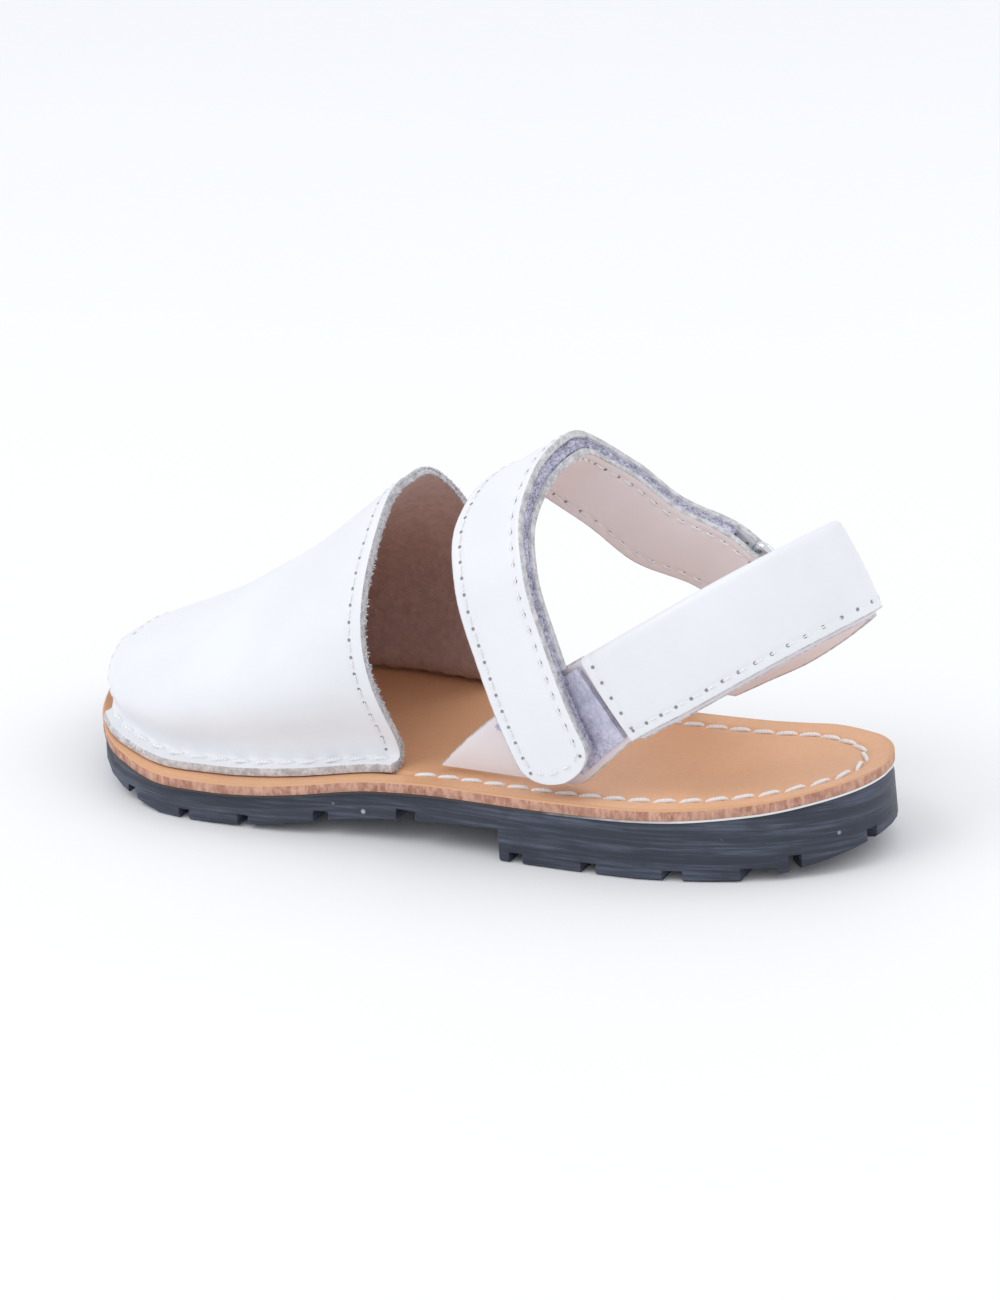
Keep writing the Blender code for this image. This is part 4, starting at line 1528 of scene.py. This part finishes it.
@dataclass
class Vamp:
    """One piece of leather over the forefoot, its flange sewn to the insole."""

    wall: float = 1.6
    instep: float = 50.0
    flange: float = 2.6
    margin_lateral: float = 4.3
    margin_medial: float = 2.2
    fold: float = 2.6
    lean: float = 6.5
    reach: float = 6.5
    throat_at: float = 91.8
    toe_at: float = 159.5
    round_lateral: float = 0.85
    round_medial: float = 0.70
    bulge_fall: float = 4.0
    bulge_scale: float = 3.5
    steps: tuple[int, int] = (80, 152)
    flange_steps: int = 5
    fold_steps: int = 9
    pucker: float = 0.22
    pucker_inward: float = 3.0
    pucker_reach: float = 5.0
    soft_reach: float = 6.0
    soft_rounds: int = 14
    throat_row: float = 2.8
    toe_row: float = 2.4
    row: StitchRow = StitchRow(pitch=3.2, thread=0.42, fill=0.72, sink=0.1)
    flange_row: StitchRow = StitchRow(pitch=4.9, thread=0.85, fill=0.9, yaw=7.0, sink=0.28)
    lattice: Array = field(init=False)
    chart: Array = field(init=False)
    normal: Array = field(init=False)

    def middle(self, part: Array, column: Array) -> Array:
        """Points of the vamp's middle surface.

        Args:
            part: Shares of the way from throat to toe edge.
            column: Columns across, from the lateral flange's edge to the medial one's.

        Returns:
            A point for each part and column.
        """
        part, column = np.meshgrid(part, column, indexing="ij")
        last = self.steps[1]
        side = np.where(column <= last / 2, Side.LATERAL, Side.MEDIAL)
        inward = np.minimum(column, last - column)
        first = self.flange_steps + self.fold_steps
        arch = np.clip((inward - first) / (last / 2 - first), 0, 1) * np.pi / 2
        lift = np.sin(arch)
        throat = self.throat_at + self.lean * lift
        toe = self.toe_at + self.reach * lift**0.8
        x = throat + (toe - throat) * part
        margin = np.where(side > 0, self.margin_lateral, self.margin_medial) * smooth(VAMP_SECTIONS, 4, part)
        half = np.where(side > 0, LAST.half_width(x, Side.LATERAL), LAST.half_width(x, Side.MEDIAL))
        base = np.maximum(half - margin - self.flange - self.fold, 1.0)
        bulge = np.where(side > 0, smooth(VAMP_SECTIONS, 2, part), smooth(VAMP_SECTIONS, 3, part))
        power = np.where(side > 0, self.round_lateral, self.round_medial)
        across = np.cos(arch)
        swell = LAST.ball_width * bulge * self.bulge_scale * np.sin(arch) * across**self.bulge_fall
        out = base * np.clip(across, 1e-6, 1) ** power + swell
        rise = self.instep * smooth(VAMP_SECTIONS, 1, part) * np.sin(arch) ** 0.92
        turn = np.clip((inward - self.flange_steps) / self.fold_steps, 0, 1) * np.pi / 2
        flat = np.clip(1 - inward / self.flange_steps, 0, 1)
        out = out + self.fold * (1 - np.sin(turn)) + self.flange * flat
        rise = rise + self.fold * np.where(arch > 0, np.abs(across), 1 - np.cos(turn))
        y = side * out
        return np.stack([x, y, LAST.insole_top(x, y) + LAST.gap + self.wall / 2 + rise], 2)

    def soften(self, lattice: Array) -> Array:
        """Rounds the bend between flange and arch, where one column's curve meets the next one's.

        Args:
            lattice: The middle surface.

        Returns:
            The surface with the columns near both folds eased towards their neighbours.
        """
        column = np.arange(lattice.shape[1])
        inward = np.minimum(column, column[-1] - column)
        fold = self.flange_steps + self.fold_steps
        near = np.exp(-(((inward - fold) / self.soft_reach) ** 2)) * (inward > 0)
        for _ in range(self.soft_rounds):
            beside = (np.roll(lattice, 1, 1) + np.roll(lattice, -1, 1)) / 2
            lattice = lattice + (beside - lattice) * (near / 2)[None, :, None]
        return lattice

    def form(self) -> None:
        """Works out the surface, its chart and its normals, then adds the creases and puckers."""
        part = np.linspace(0, 1, self.steps[0] + 1)
        column = np.arange(self.steps[1] + 1)
        self.lattice = self.soften(self.middle(part, column))
        steps = np.linalg.norm(np.diff(self.lattice, axis=0), axis=2)
        along = np.concatenate([np.zeros((1, len(column))), np.cumsum(steps, 0)])
        steps = np.linalg.norm(np.diff(self.lattice, axis=1), axis=2)
        across = np.concatenate([np.zeros((len(part), 1)), np.cumsum(steps, 1)], 1)
        self.chart = np.stack([along, across], 2)
        self.normal = self.normals()
        inward = np.minimum(column, self.steps[1] - column)
        seat = np.exp(-(((inward - self.flange_steps - self.pucker_inward) / self.pucker_reach) ** 2))
        wave = np.cos(2 * np.pi * self.lattice[:, :, 0] / self.flange_row.pitch)
        lift = self.pucker * seat * wave * (0.6 + 0.4 * np.sin(self.lattice[:, :, 0] * 0.37))
        for crease in self.creases():
            lift = lift + crease.lift(self.chart)
        self.lattice = self.lattice + self.normal * lift[:, :, None]
        self.normal = self.normals()

    def normals(self) -> Array:
        """Unit normals that point out of the foot's space.

        Returns:
            One unit vector for each point of the lattice.
        """
        along = np.gradient(self.lattice, axis=0)
        across = np.gradient(self.lattice, axis=1)
        return unit(np.cross(across, along))

    def creases(self) -> list[Crease]:
        """Troughs and ridges: fine ones low on the medial side, broad soft ones at the base.

        Returns:
            The creases.
        """
        total = float(self.chart[0, -1, 1])
        found = [
            Crease(14.0, 11.0, 16.0, 2.6, -0.25, 4.0),
            Crease(38.0, 9.0, 14.0, 2.2, -0.18, -6.0),
            Crease(26.0, 22.0, 22.0, 5.0, 0.25, 3.0),
            Crease(20.0, total / 2, 16.0, 16.0, 0.25, 0.0),
        ]
        for k in range(6):
            sign = -1 if k % 2 else 1
            rise = 9.0 + 1.7 * k
            found.append(Crease(9.0 + 2.3 * k, total - rise, 12.0 - k, 0.8, sign * 0.12, 3.0 * sign - k))
        return found

    def build(self) -> None:
        """Makes and dresses the vamp, its stitches and the fibres of its cut edge."""
        self.form()
        obj = lay_grid("vamp_leather", self.lattice, self.chart)
        with editing(obj):
            bpy.ops.mesh.normals_make_consistent(inside=False)
        middle = obj.data.polygons[len(obj.data.polygons) // 2]
        if middle.normal.z < 0:
            with editing(obj):
                bpy.ops.mesh.flip_normals()
        beds = [Bed(Axis.ACROSS, self.throat_row, self.row.pitch)]
        finishes = [WHITE.material("vamp_white", beds), SUEDE.material("vamp_suede")]
        finishes.append(RAW_EDGE.material("vamp_edge"))
        dress(obj, finishes)
        wall = obj.modifiers.new("wall", "SOLIDIFY")
        wall.thickness = self.wall / MM
        wall.offset = 0
        wall.material_offset = Part.INNER
        wall.material_offset_rim = Part.EDGE
        soft = obj.modifiers.new("soft_edges", "BEVEL")
        soft.width = 0.3 / MM
        soft.segments = 2
        soft.limit_method = "ANGLE"
        soft.angle_limit = math.radians(55)
        apply_modifiers(obj)
        smooth_by_angle(obj, SHELL_SHARP)
        put_on(obj, finishes, "white_leather", "vamp")
        self.seams()
        self.fluff()

    def row_at(self, distance: float, from_toe: bool) -> tuple[Array, Array]:
        """A line on the outer face at a distance from the throat's or the toe's edge.

        Args:
            distance: Millimetres along the surface from the edge.
            from_toe: Whether the edge is the toe's.

        Returns:
            Points and normals, one for each column of the arch.
        """
        first = self.flange_steps + self.fold_steps - 2
        line, up = [], []
        for column in range(first, self.steps[1] + 1 - first):
            along = self.chart[:, column, 0]
            place = along[-1] - distance if from_toe else distance
            point = [np.interp(place, along, self.lattice[:, column, c]) for c in range(3)]
            normal = [np.interp(place, along, self.normal[:, column, c]) for c in range(3)]
            line.append(point)
            up.append(normal)
        up = unit(np.array(up))
        return np.array(line) + up * self.wall / 2, up

    def seams(self) -> None:
        """Sews the throat, the toe edge and both flanges."""
        thread = SEWING.material("vamp_thread")
        for name, distance, from_toe in (("throat", self.throat_row, False), ("toe", self.toe_row, True)):
            line, up = self.row_at(distance, from_toe)
            put_on(self.row.sew(f"vamp_{name}_stitches", line, up, 1.0), [thread], "white_leather")
        inward = self.flange_steps + 1
        for name, column in (("lateral", inward), ("medial", self.steps[1] - inward)):
            up = self.normal[:, column]
            line = self.lattice[:, column] + up * self.wall / 2
            line, up = line[1:-1], up[1:-1]
            sewn = self.flange_row.sew(f"vamp_{name}_flange_stitches", line, up, 0.4)
            put_on(sewn, [thread], "white_leather")

    def fluff(self) -> None:
        """Short fibres along the throat's cut edge."""
        ahead = unit(self.lattice[0] - self.lattice[1])
        low = self.lattice[0] - self.normal[0] * self.wall * 0.45
        roots = np.concatenate([low, self.lattice[0] + self.normal[0] * self.wall * 0.2])
        ways = np.concatenate([ahead, ahead + self.normal[0] * 0.5])
        obj = Fuzz(1500, 0.85, 0.07, 0.75, 11).grow("vamp_throat_fibres", roots, ways)
        put_on(obj, [FLUFF.material("throat_fibres")], "white_leather")


@dataclass
class Sling:
    """The heel sling: lined outer leather, and the patch under the strap's tip."""

    width: float = 18.3
    rise: float = 42.0
    leather: float = 1.4
    lining: float = 1.2
    patch: float = 1.1
    front_lateral: float = 0.198
    front_medial: float = 0.905
    patch_from: float = 0.070
    patch_to: float = 0.188
    patch_wide: float = 0.86
    row_in: float = 1.9
    front_in: float = 1.6
    edge_run: float = 0.01
    row: StitchRow = StitchRow(pitch=3.3, thread=0.42, fill=0.72, sink=0.1)

    def __post_init__(self) -> None:
        """Works out the sling's path."""
        bench = LAST.bench() + LAST.gap
        points = [
            (along * LAST.length, aside * LAST.ball_width, bench + above * self.rise)
            for along, aside, above, _, _ in BAND_PATH
        ]
        widths = [(math.cos(math.radians(s)), 0.0, math.sin(math.radians(s))) for *_, s, _ in BAND_PATH]
        self.path = Path(points, widths, [self.width / 2 * wide for *_, wide in BAND_PATH])

    def build(self) -> None:
        """Makes and dresses the sling's pieces."""
        outside = self.lining + LAST.gap
        bead = (self.leather + outside) / 2
        half = self.width / 2
        row_at = -(half - self.row_in)
        outer = self.path.rail(np.linspace(self.front_lateral, self.front_medial, 161), outside)
        section = Section(self.leather, 0.25, bead=bead, crown=0.45)
        obj = sweep("sling_leather", outer, section, self.ripple(outer, section))
        start = float(outer.along[0]) + self.front_in
        beds = [Bed(Axis.ALONG, row_at, self.row.pitch, start=start), Bed(Axis.ACROSS, start, self.row.pitch)]
        white = WHITE.material("sling_white", beds)
        finishes = [white, LINING.material("sling_back"), RAW_EDGE.material("sling_edge")]
        put_on(obj, finishes, "white_leather", "heel_band")
        self.sew(outer, row_at, start)
        self.lining_strip(row_at, start, bead)
        self.patch_piece(outside)

    def ripple(self, rail: Rail, section: Section) -> Array:
        """Soft waves of the outer leather: a trough behind the front line and a fold at the rear bend.

        Args:
            rail: The strip's stations.
            section: The strip's cross-section.

        Returns:
            Distances outwards, for each station and point of the section.
        """
        across, level, _ = section.shape(rail.half)
        share = (rail.along - rail.along[0]) / (rail.along[-1] - rail.along[0])
        trough = -0.35 * np.exp(-(((share - 0.07) / 0.035) ** 2))
        bend = 0.3 * np.exp(-(((share - 0.43) / 0.03) ** 2)) - 0.25 * np.exp(-(((share - 0.50) / 0.025) ** 2))
        loose = 0.12 * np.sin(share * 23.0)
        outside = level > self.leather * 0.6
        middle = np.clip(1 - (across / (rail.half[:, None] + 1e-6)) ** 2, 0, 1)
        return (trough + bend + loose)[:, None] * outside * middle

    def sew(self, rail: Rail, row_at: float, start: float) -> None:
        """The long row over the lower edge and the short rows over both front lines.

        Args:
            rail: The strip's stations.
            row_at: Distance of the row from the middle line.
            start: Distance along the path of the lateral front line.
        """
        thread = SEWING.material("sling_thread")
        fine = self.path.rail(np.linspace(self.front_lateral, self.front_medial, 400), self.lining + LAST.gap)
        line = fine.line(np.full(len(fine.half), row_at) * fine.half / (self.width / 2), self.leather)
        put_on(self.row.sew("sling_long_stitches", line, fine.out, self.front_in), [thread], "white_leather")
        for name, along in (("lateral", start), ("medial", float(rail.along[-1]) - self.front_in)):
            one = self.path.rail(np.array([along / self.path.length]), self.lining + LAST.gap)
            across = np.linspace(row_at, float(one.half[0]) - 1.8, 40)
            line = one.origin + one.width * across[:, None] + one.out * (self.leather + 0.12)
            up = np.repeat(one.out, len(line), 0)
            put_on(self.row.sew(f"sling_{name}_front_stitches", line, up), [thread], "white_leather")

    def lining_strip(self, row_at: float, start: float, bead: float) -> None:
        """The inner strip from foot to foot, its lower edge a little longer than the outer leather's.

        Args:
            row_at: Distance of the row from the middle line.
            start: Distance along the path of the lateral front line.
            bead: Radius of the outer leather's rolled edge.
        """
        shares = np.linspace(0, 1, 221)
        rail = self.path.rail(shares)
        behind = np.clip((shares - self.front_lateral) / self.edge_run, 0, 1)
        covered = behind * np.clip((self.front_medial - shares) / self.edge_run, 0, 1)
        section = Section(self.lining, 0.3)
        across, level, parts = section.shape(rail.half)
        droop = np.where(across < 0, 1.0, -bead - 0.1)
        across = across * (1 + covered[:, None] * droop / rail.half[:, None])
        chart = np.stack([np.broadcast_to(rail.along[:, None], across.shape), across], 2)
        obj = lay_grid("sling_lining", rail.place(across, level), chart, parts)
        close_ends(obj)
        smooth_by_angle(obj, STRIP_SHARP)
        beds = [Bed(Axis.ALONG, row_at, self.row.pitch, start=start)]
        inside = LINING.material("lining_inside", beds)
        outside = LINING.material("lining_outside")
        put_on(obj, [outside, inside, RAW_EDGE.material("lining_edge")], "lining_leather", "heel_lining")

    def patch_piece(self, outside: float) -> None:
        """The fuzzy patch that the strap's tip fastens to.

        Args:
            outside: Distance outwards of the patch's underside.
        """
        rail = self.path.rail(np.linspace(self.patch_from, self.patch_to, 41), outside)
        rail.half = rail.half * self.patch_wide
        section = Section(self.patch, 0.4, crown=0.1)
        pile = PILE.material("patch_pile")
        put_on(sweep("sling_patch", rail, section), [pile, pile, pile], "hook_and_loop", "loop_patch")
        random = np.random.default_rng(5)
        across = random.uniform(-1, 1, (1600,))
        which = random.integers(0, len(rail.half), 1600)
        roots = rail.origin[which] + rail.width[which] * (across * rail.half[which])[:, None]
        roots = roots + rail.out[which] * self.patch
        obj = Fuzz(1600, 0.55, 0.08, 0.9, 6).grow("sling_patch_fibres", roots, rail.out[which])
        put_on(obj, [PILE.material("patch_fibres")], "hook_and_loop")


@dataclass
class AnkleStrap:
    """One strap over the instep, round the ring's bar and back to its tip, with pile between its layers."""

    sling: Sling
    width: float = 15.5
    rise: float = 61.0
    leather: float = 1.4
    pile: float = 1.8
    pile_inset: float = 0.5
    inner_from: float = 0.170
    pile_to: float = 0.955
    tip: float = 6.0
    row_in: float = 2.0
    ring_reach: float = 6.5
    ring_overlap: float = 5.0
    ring_turn: float = 18.0
    ring_room: float = 0.5
    ring_lead: float = 3.0
    ring_corner: float = 1.6
    tab: float = 1.1
    tab_length: float = 8.5
    tab_inset: float = 2.6
    tab_at: float = 0.800
    tab_row_in: float = 1.3
    tab_steps: int = 14
    tab_row: StitchRow = StitchRow(pitch=2.6, thread=0.4, fill=0.72, sink=0.1)
    row: StitchRow = StitchRow(pitch=3.2, thread=0.42, fill=0.72, sink=0.1)

    def __post_init__(self) -> None:
        """Works out the ring's frame and the strap's path."""
        self.ring_frame()
        points = [
            (along * LAST.length, aside * LAST.ball_width, LAST.bench() + above * self.rise)
            for along, aside, above, _ in ANKLE_PATH
        ]
        widths = [(math.cos(math.radians(s)), 0.0, -math.sin(math.radians(s))) for *_, s in ANKLE_PATH]
        end = self.upper - self.normal * (self.leather + LAST.gap + self.pile / 2)
        points += [tuple(end + self.up * self.ring_lead), tuple(end)]
        widths += [tuple(self.bar)] * 2
        self.path = Path(points, widths, [self.width / 2] * len(points))

    def ring_frame(self) -> None:
        """The ring's upper bar, its direction, the way up to the strap and the band's normal."""
        one = self.sling.path.rail(np.array([self.tab_at]))
        width, out = one.width[0], one.out[0]
        across = np.cross(width, out)
        across = across * np.sign(across[0])
        turn = math.radians(self.ring_turn)
        self.bar = across * math.cos(turn) - width * math.sin(turn)
        self.up = width * math.cos(turn) + across * math.sin(turn)
        self.normal = out
        outside = self.sling.lining + 2 * LAST.gap + self.sling.leather + self.tab + LAST.gap + self.pile / 2
        reach = float(one.half[0]) + self.ring_reach - self.ring_overlap
        self.upper = one.origin[0] + width * reach + out * outside

    def build(self) -> None:
        """Makes and dresses strap, pile, ring and tab."""
        self.strap()
        self.pile_layer()
        self.ring()
        self.tab_piece()

    def rail(self) -> tuple[Rail, int]:
        """The strap's stations: inner run, turn and outer run.

        Returns:
            The rail, whose out points from the foot's side to the pile, and the number of stations before
            the outer run.
        """
        total = 2 * self.leather + 2 * LAST.gap + self.pile
        inner = self.path.rail(np.linspace(self.inner_from, 1.0, 121))
        forward = unit(inner.origin[-1] - inner.origin[-2])
        out = inner.out[-1]
        pivot = inner.origin[-1] + out * total / 2
        angles = np.linspace(0, np.pi, 14)[1:-1, None]
        away = -out * np.cos(angles) + forward * np.sin(angles)
        turned = pivot + away * total / 2
        tip = self.tip / self.path.length
        straight = np.linspace(1.0, tip, 121)
        rounded = tip * (1 - np.sin(np.linspace(0, np.pi / 2, 18)[1:]))
        back_shares = np.concatenate([straight, rounded])
        back = self.path.rail(back_shares, total)
        from_tip = np.clip(back_shares * self.path.length / self.tip, 0.004, 1)
        back_half = back.half * np.sqrt(1 - (1 - from_tip) ** 2)
        origin = np.concatenate([inner.origin, turned, back.origin])
        width = np.concatenate([inner.width, np.repeat(inner.width[-1:], len(turned), 0), back.width])
        out = np.concatenate([inner.out, -away, -back.out])
        half = np.concatenate([inner.half, np.full(len(turned), inner.half[-1]), back_half])
        return Rail(origin, width, out, half, travelled(origin)), len(inner.half) + len(turned)

    def strap(self) -> None:
        """The leather itself, its stitches and its cut edges."""
        rail, turned = self.rail()
        obj = sweep("ankle_strap_leather", rail, Section(self.leather, 0.3, crown=0.0))
        row_at = self.width / 2 - self.row_in
        beds = [Bed(Axis.ALONG, row_at, self.row.pitch, both_sides=True)]
        white = WHITE.material("strap_white", beds)
        lined = LINING.material("strap_lining", beds)
        self.face_inner_run(obj, rail, turned)
        put_on(obj, [white, lined, RAW_EDGE.material("strap_edge")], "white_leather", "ankle_strap")
        self.sew(rail, turned, row_at)

    def face_inner_run(self, obj: bpy.types.Object, rail: Rail, turned: int) -> None:
        """Lining on the foot's side of the inner run, white leather on every other face.

        Args:
            obj: The object to work on.
            rail: The strip's stations.
            turned: Number of stations before the outer run.
        """
        chart = obj.data.uv_layers[CHART].data
        limit = float(rail.along[turned - 10])
        for face in obj.data.polygons:
            along = sum(chart[k].uv.x for k in face.loop_indices) / face.loop_total
            if face.material_index == Part.INNER and along > limit:
                face.material_index = Part.OUTER

    def sew(self, rail: Rail, turned: int, row_at: float) -> None:
        """Rows along both edges of the outer run, round its tip, and along the inner run's lining.

        Args:
            rail: The strip's stations.
            turned: Number of stations before the outer run.
            row_at: Distance of the row from the middle line.
        """
        thread = SEWING.material("strap_thread")
        back = slice(turned, len(rail.half))
        origin, width, out = rail.origin[back], rail.width[back], rail.out[back]
        from_tip = travelled(origin[::-1])[::-1]
        reach = np.clip((from_tip - self.row_in) / (self.tip - self.row_in), 0, 1)
        aside = row_at * np.sqrt(1 - (1 - reach) ** 2)
        keep = from_tip >= self.row_in
        up_line = (origin + width * aside[:, None])[keep]
        down_line = (origin - width * aside[:, None])[keep][::-1]
        line = np.concatenate([up_line, down_line[1:]])
        up = -np.concatenate([out[keep], out[keep][::-1][1:]])
        put_on(self.row.sew("ankle_strap_stitches", line, up, 0.8), [thread], "white_leather")
        inner = slice(0, turned - 12)
        for name, sign in (("front", 1), ("rear", -1)):
            line = rail.origin[inner] + rail.width[inner] * sign * row_at
            obj = self.row.sew(f"ankle_lining_{name}_stitches", line, -rail.out[inner])
            put_on(obj, [thread], "white_leather")

    def pile_layer(self) -> None:
        """Both halves of the hook-and-loop, with loose fibres along their edges."""
        start = 0.5 * self.tip / self.path.length
        rail = self.path.rail(np.linspace(start, self.pile_to, 200), self.leather + 0.12)
        rail.half = rail.half - self.pile_inset
        from_tip = np.clip(rail.along / self.tip, 0, 1)
        rail.half = rail.half * np.sqrt(1 - (1 - from_tip) ** 2 * 0.8)
        section = Section(self.pile + 0.36, 0.4)
        random = np.random.default_rng(3)
        shape = section.shape(rail.half)[0].shape
        ripple = random.normal(0, 0.05, shape)
        ripple[:, -1] = ripple[:, 0]
        pile = PILE.material("strap_pile")
        put_on(sweep("strap_pile", rail, section, ripple), [pile, pile, pile], "hook_and_loop", "strap_tape")
        roots, ways = [], []
        for sign in (1, -1):
            for level in np.linspace(0.15, self.pile + 0.2, 7):
                roots.append(rail.line(sign * rail.half, level))
                ways.append(rail.width * sign)
        fuzz = Fuzz(3600, 0.75, 0.07, 0.6, 4)
        obj = fuzz.grow("strap_pile_fibres", np.concatenate(roots), np.concatenate(ways))
        put_on(obj, [PILE.material("strap_fibres")], "hook_and_loop")

    def ring(self) -> None:
        """A rounded rectangle of wire: its upper bar holds the strap, its lower bar the tab."""
        wire = self.pile / 2
        corner = self.ring_corner * wire
        reach = self.width / 2 + self.ring_room + wire
        centre = self.upper - self.up * self.ring_reach / 2
        loop, outward = [], []
        for quarter, (side, lift) in enumerate(((1, 1), (-1, 1), (-1, -1), (1, -1))):
            bend = centre + self.bar * side * (reach - corner)
            bend = bend + self.up * lift * (self.ring_reach / 2 - corner)
            for degrees in np.linspace(0, 90, 9):
                angle = math.radians(90 * quarter + degrees)
                way = self.bar * math.cos(angle) + self.up * math.sin(angle)
                loop.append(bend + way * corner)
                outward.append(way)
        loop, outward = np.array(loop + loop[:1]), np.array(outward + outward[:1])
        angles = np.linspace(0, 2 * np.pi, 21)
        lattice = loop[:, None] + wire * (
            outward[:, None] * np.cos(angles)[None, :, None] + self.normal * np.sin(angles)[None, :, None]
        )
        chart = np.zeros((*lattice.shape[:2], 2))
        obj = lay_grid("ring_wire", lattice, chart)
        with editing(obj):
            bpy.ops.mesh.normals_make_consistent(inside=False)
        smooth_by_angle(obj, SHELL_SHARP)
        put_on(obj, [STEEL.material("ring_metal")], "ring_metal", "ring")

    def tab_piece(self) -> None:
        """A leather strip over the ring's lower bar, sewn to the band."""
        pivot = self.upper - self.up * self.ring_reach
        inside = self.pile / 2 + LAST.gap
        outside = inside + self.tab
        angles = np.linspace(0, np.pi, 17)[:, None]
        away = -self.normal * np.cos(angles) + self.up * np.sin(angles)
        down = np.linspace(self.tab_length, 0.5, self.tab_steps)[:, None]
        origin = np.concatenate([
            pivot - self.normal * inside - self.up * down,
            pivot + away * inside,
            pivot + self.normal * inside - self.up * down[::-1],
        ])
        front = np.tile(self.normal, (self.tab_steps, 1))
        out = np.concatenate([-front, away, front])
        width = np.tile(self.bar, (len(origin), 1))
        half = np.full(len(origin), self.width / 2 - self.tab_inset)
        rail = Rail(origin, width, out, half, travelled(origin))
        obj = sweep("ring_tab_leather", rail, Section(self.tab, 0.25))
        row_at = float(half[0]) - self.tab_row_in
        white = WHITE.material("tab_white", [Bed(Axis.ALONG, row_at, self.tab_row.pitch, both_sides=True)])
        put_on(obj, [white, white, RAW_EDGE.material("tab_edge")], "white_leather", "ring_tab")
        thread = SEWING.material("tab_thread")
        for name, sign in (("front", 1), ("rear", -1)):
            line = pivot + self.normal * outside - self.up * (down[::-1] * 0.9) + self.bar * sign * row_at
            put_on(self.tab_row.sew(f"tab_{name}_stitches", line, front), [thread], "white_leather")


@dataclass(frozen=True)
class Studio:
    """Pale floor, soft light, and the photograph's camera turned and lengthened to frame the one shoe."""

    azimuth: float = -64.95
    pitch: float = 14.83
    roll: float = -2.44
    focal_px: float = 2109.1
    frame_px: tuple[int, int] = (1000, 1300)
    shoe_centre_px: tuple[float, float] = (427.0, 906.0)
    closer: float = 1.95
    sensor: float = 36.0
    camera_at: tuple[float, float, float] = (-0.29686, 0.6545, 0.3222)
    floor_size: float = 12.0

    def build(self) -> None:
        """Adds camera, floor, world and lights."""
        self.camera()
        self.floor()
        self.lights()

    def camera(self) -> None:
        """Places the camera at the photograph's point and turns it to the shoe."""
        a, p, r = (math.radians(v) for v in (self.azimuth, self.pitch, self.roll))
        ahead = Vector((math.cos(a) * math.cos(p), math.sin(a) * math.cos(p), -math.sin(p)))
        level = Vector((math.sin(a), -math.cos(a), 0.0))
        above = level.cross(ahead)
        right = level * math.cos(r) + above * math.sin(r)
        up = above * math.cos(r) - level * math.sin(r)
        aside = self.shoe_centre_px[0] - self.frame_px[0] / 2
        down = self.shoe_centre_px[1] - self.frame_px[1] / 2
        look = (ahead * self.focal_px + right * aside - up * down).normalized()
        right = (right - look * right.dot(look)).normalized()
        up = right.cross(look)
        data = bpy.data.cameras.new("camera")
        data.sensor_width = self.sensor
        data.lens = self.focal_px * self.closer * self.sensor / max(self.frame_px)
        obj = bpy.data.objects.new("camera", data)
        bpy.context.scene.collection.objects.link(obj)
        turn = Matrix((right, up, -look)).transposed()
        obj.matrix_world = Matrix.Translation(self.camera_at) @ turn.to_4x4()
        bpy.context.scene.camera = obj

    def floor(self) -> None:
        """A pale floor with a faint unevenness."""
        clear_selection()
        bpy.ops.mesh.primitive_grid_add(x_subdivisions=4, y_subdivisions=4, size=self.floor_size)
        obj = bpy.context.active_object
        obj.name = "floor"
        material = bpy.data.materials.new("floor")
        material.use_nodes = True
        net = Net(material.node_tree)
        shader = material.node_tree.nodes["Principled BSDF"]
        cloud = net.noise(net.add("TexCoord").outputs["Object"], 3.0)
        tint = net.blend(cloud, (0.90, 0.905, 0.92, 1.0), (0.93, 0.935, 0.945, 1.0))
        net.feed(shader.inputs["Base Color"], tint)
        shader.inputs["Roughness"].default_value = 0.6
        shader.inputs["Specular IOR Level"].default_value = 0.2
        obj.data.materials.append(material)

    def lights(self) -> None:
        """A bright even world, a broad key from the toe's side and a weak fill behind the heel."""
        scene = bpy.context.scene
        scene.view_settings.view_transform = "Standard"
        world = bpy.data.worlds.new("studio")
        world.use_nodes = True
        background = world.node_tree.nodes["Background"]
        background.inputs["Color"].default_value = (0.95, 0.97, 1.0, 1.0)
        background.inputs["Strength"].default_value = 0.90
        scene.world = world
        for name, place, power, size in (
            ("key", (0.75, 0.75, 1.25), 6.5, 0.9),
            ("fill", (-0.9, -0.5, 0.9), 2.5, 1.0),
        ):
            clear_selection()
            bpy.ops.object.light_add(type="AREA", location=place)
            lamp = bpy.context.active_object
            lamp.name = name
            lamp.data.energy = power
            lamp.data.size = size
            lamp.rotation_euler = (-Vector(place)).to_track_quat("-Z", "Y").to_euler()


def corners(box: tuple[Vector, Vector]) -> list[list[float]]:
    """A box's corners as plain lists.

    Args:
        box: The box's low and high corner.

    Returns:
        The low and the high corner.
    """
    return [[float(value) for value in corner] for corner in box]


LAST = Last.from_frame()
THREAD = thread_shape()
FIBRE = fibre_shape()
GROUPS = {"grain": grain_group(), "bed": bed_group(), "fibres": fibre_group()}
VAMP = Vamp()


def main() -> None:
    """Builds the shoe's pieces and the studio."""
    logging.basicConfig(level=logging.INFO, format="%(name)s: %(message)s")
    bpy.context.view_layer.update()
    Sole().build()
    VAMP.build()
    sling = Sling()
    sling.build()
    AnkleStrap(sling).build()
    Studio().build()


if __name__ == "__main__":
    main()
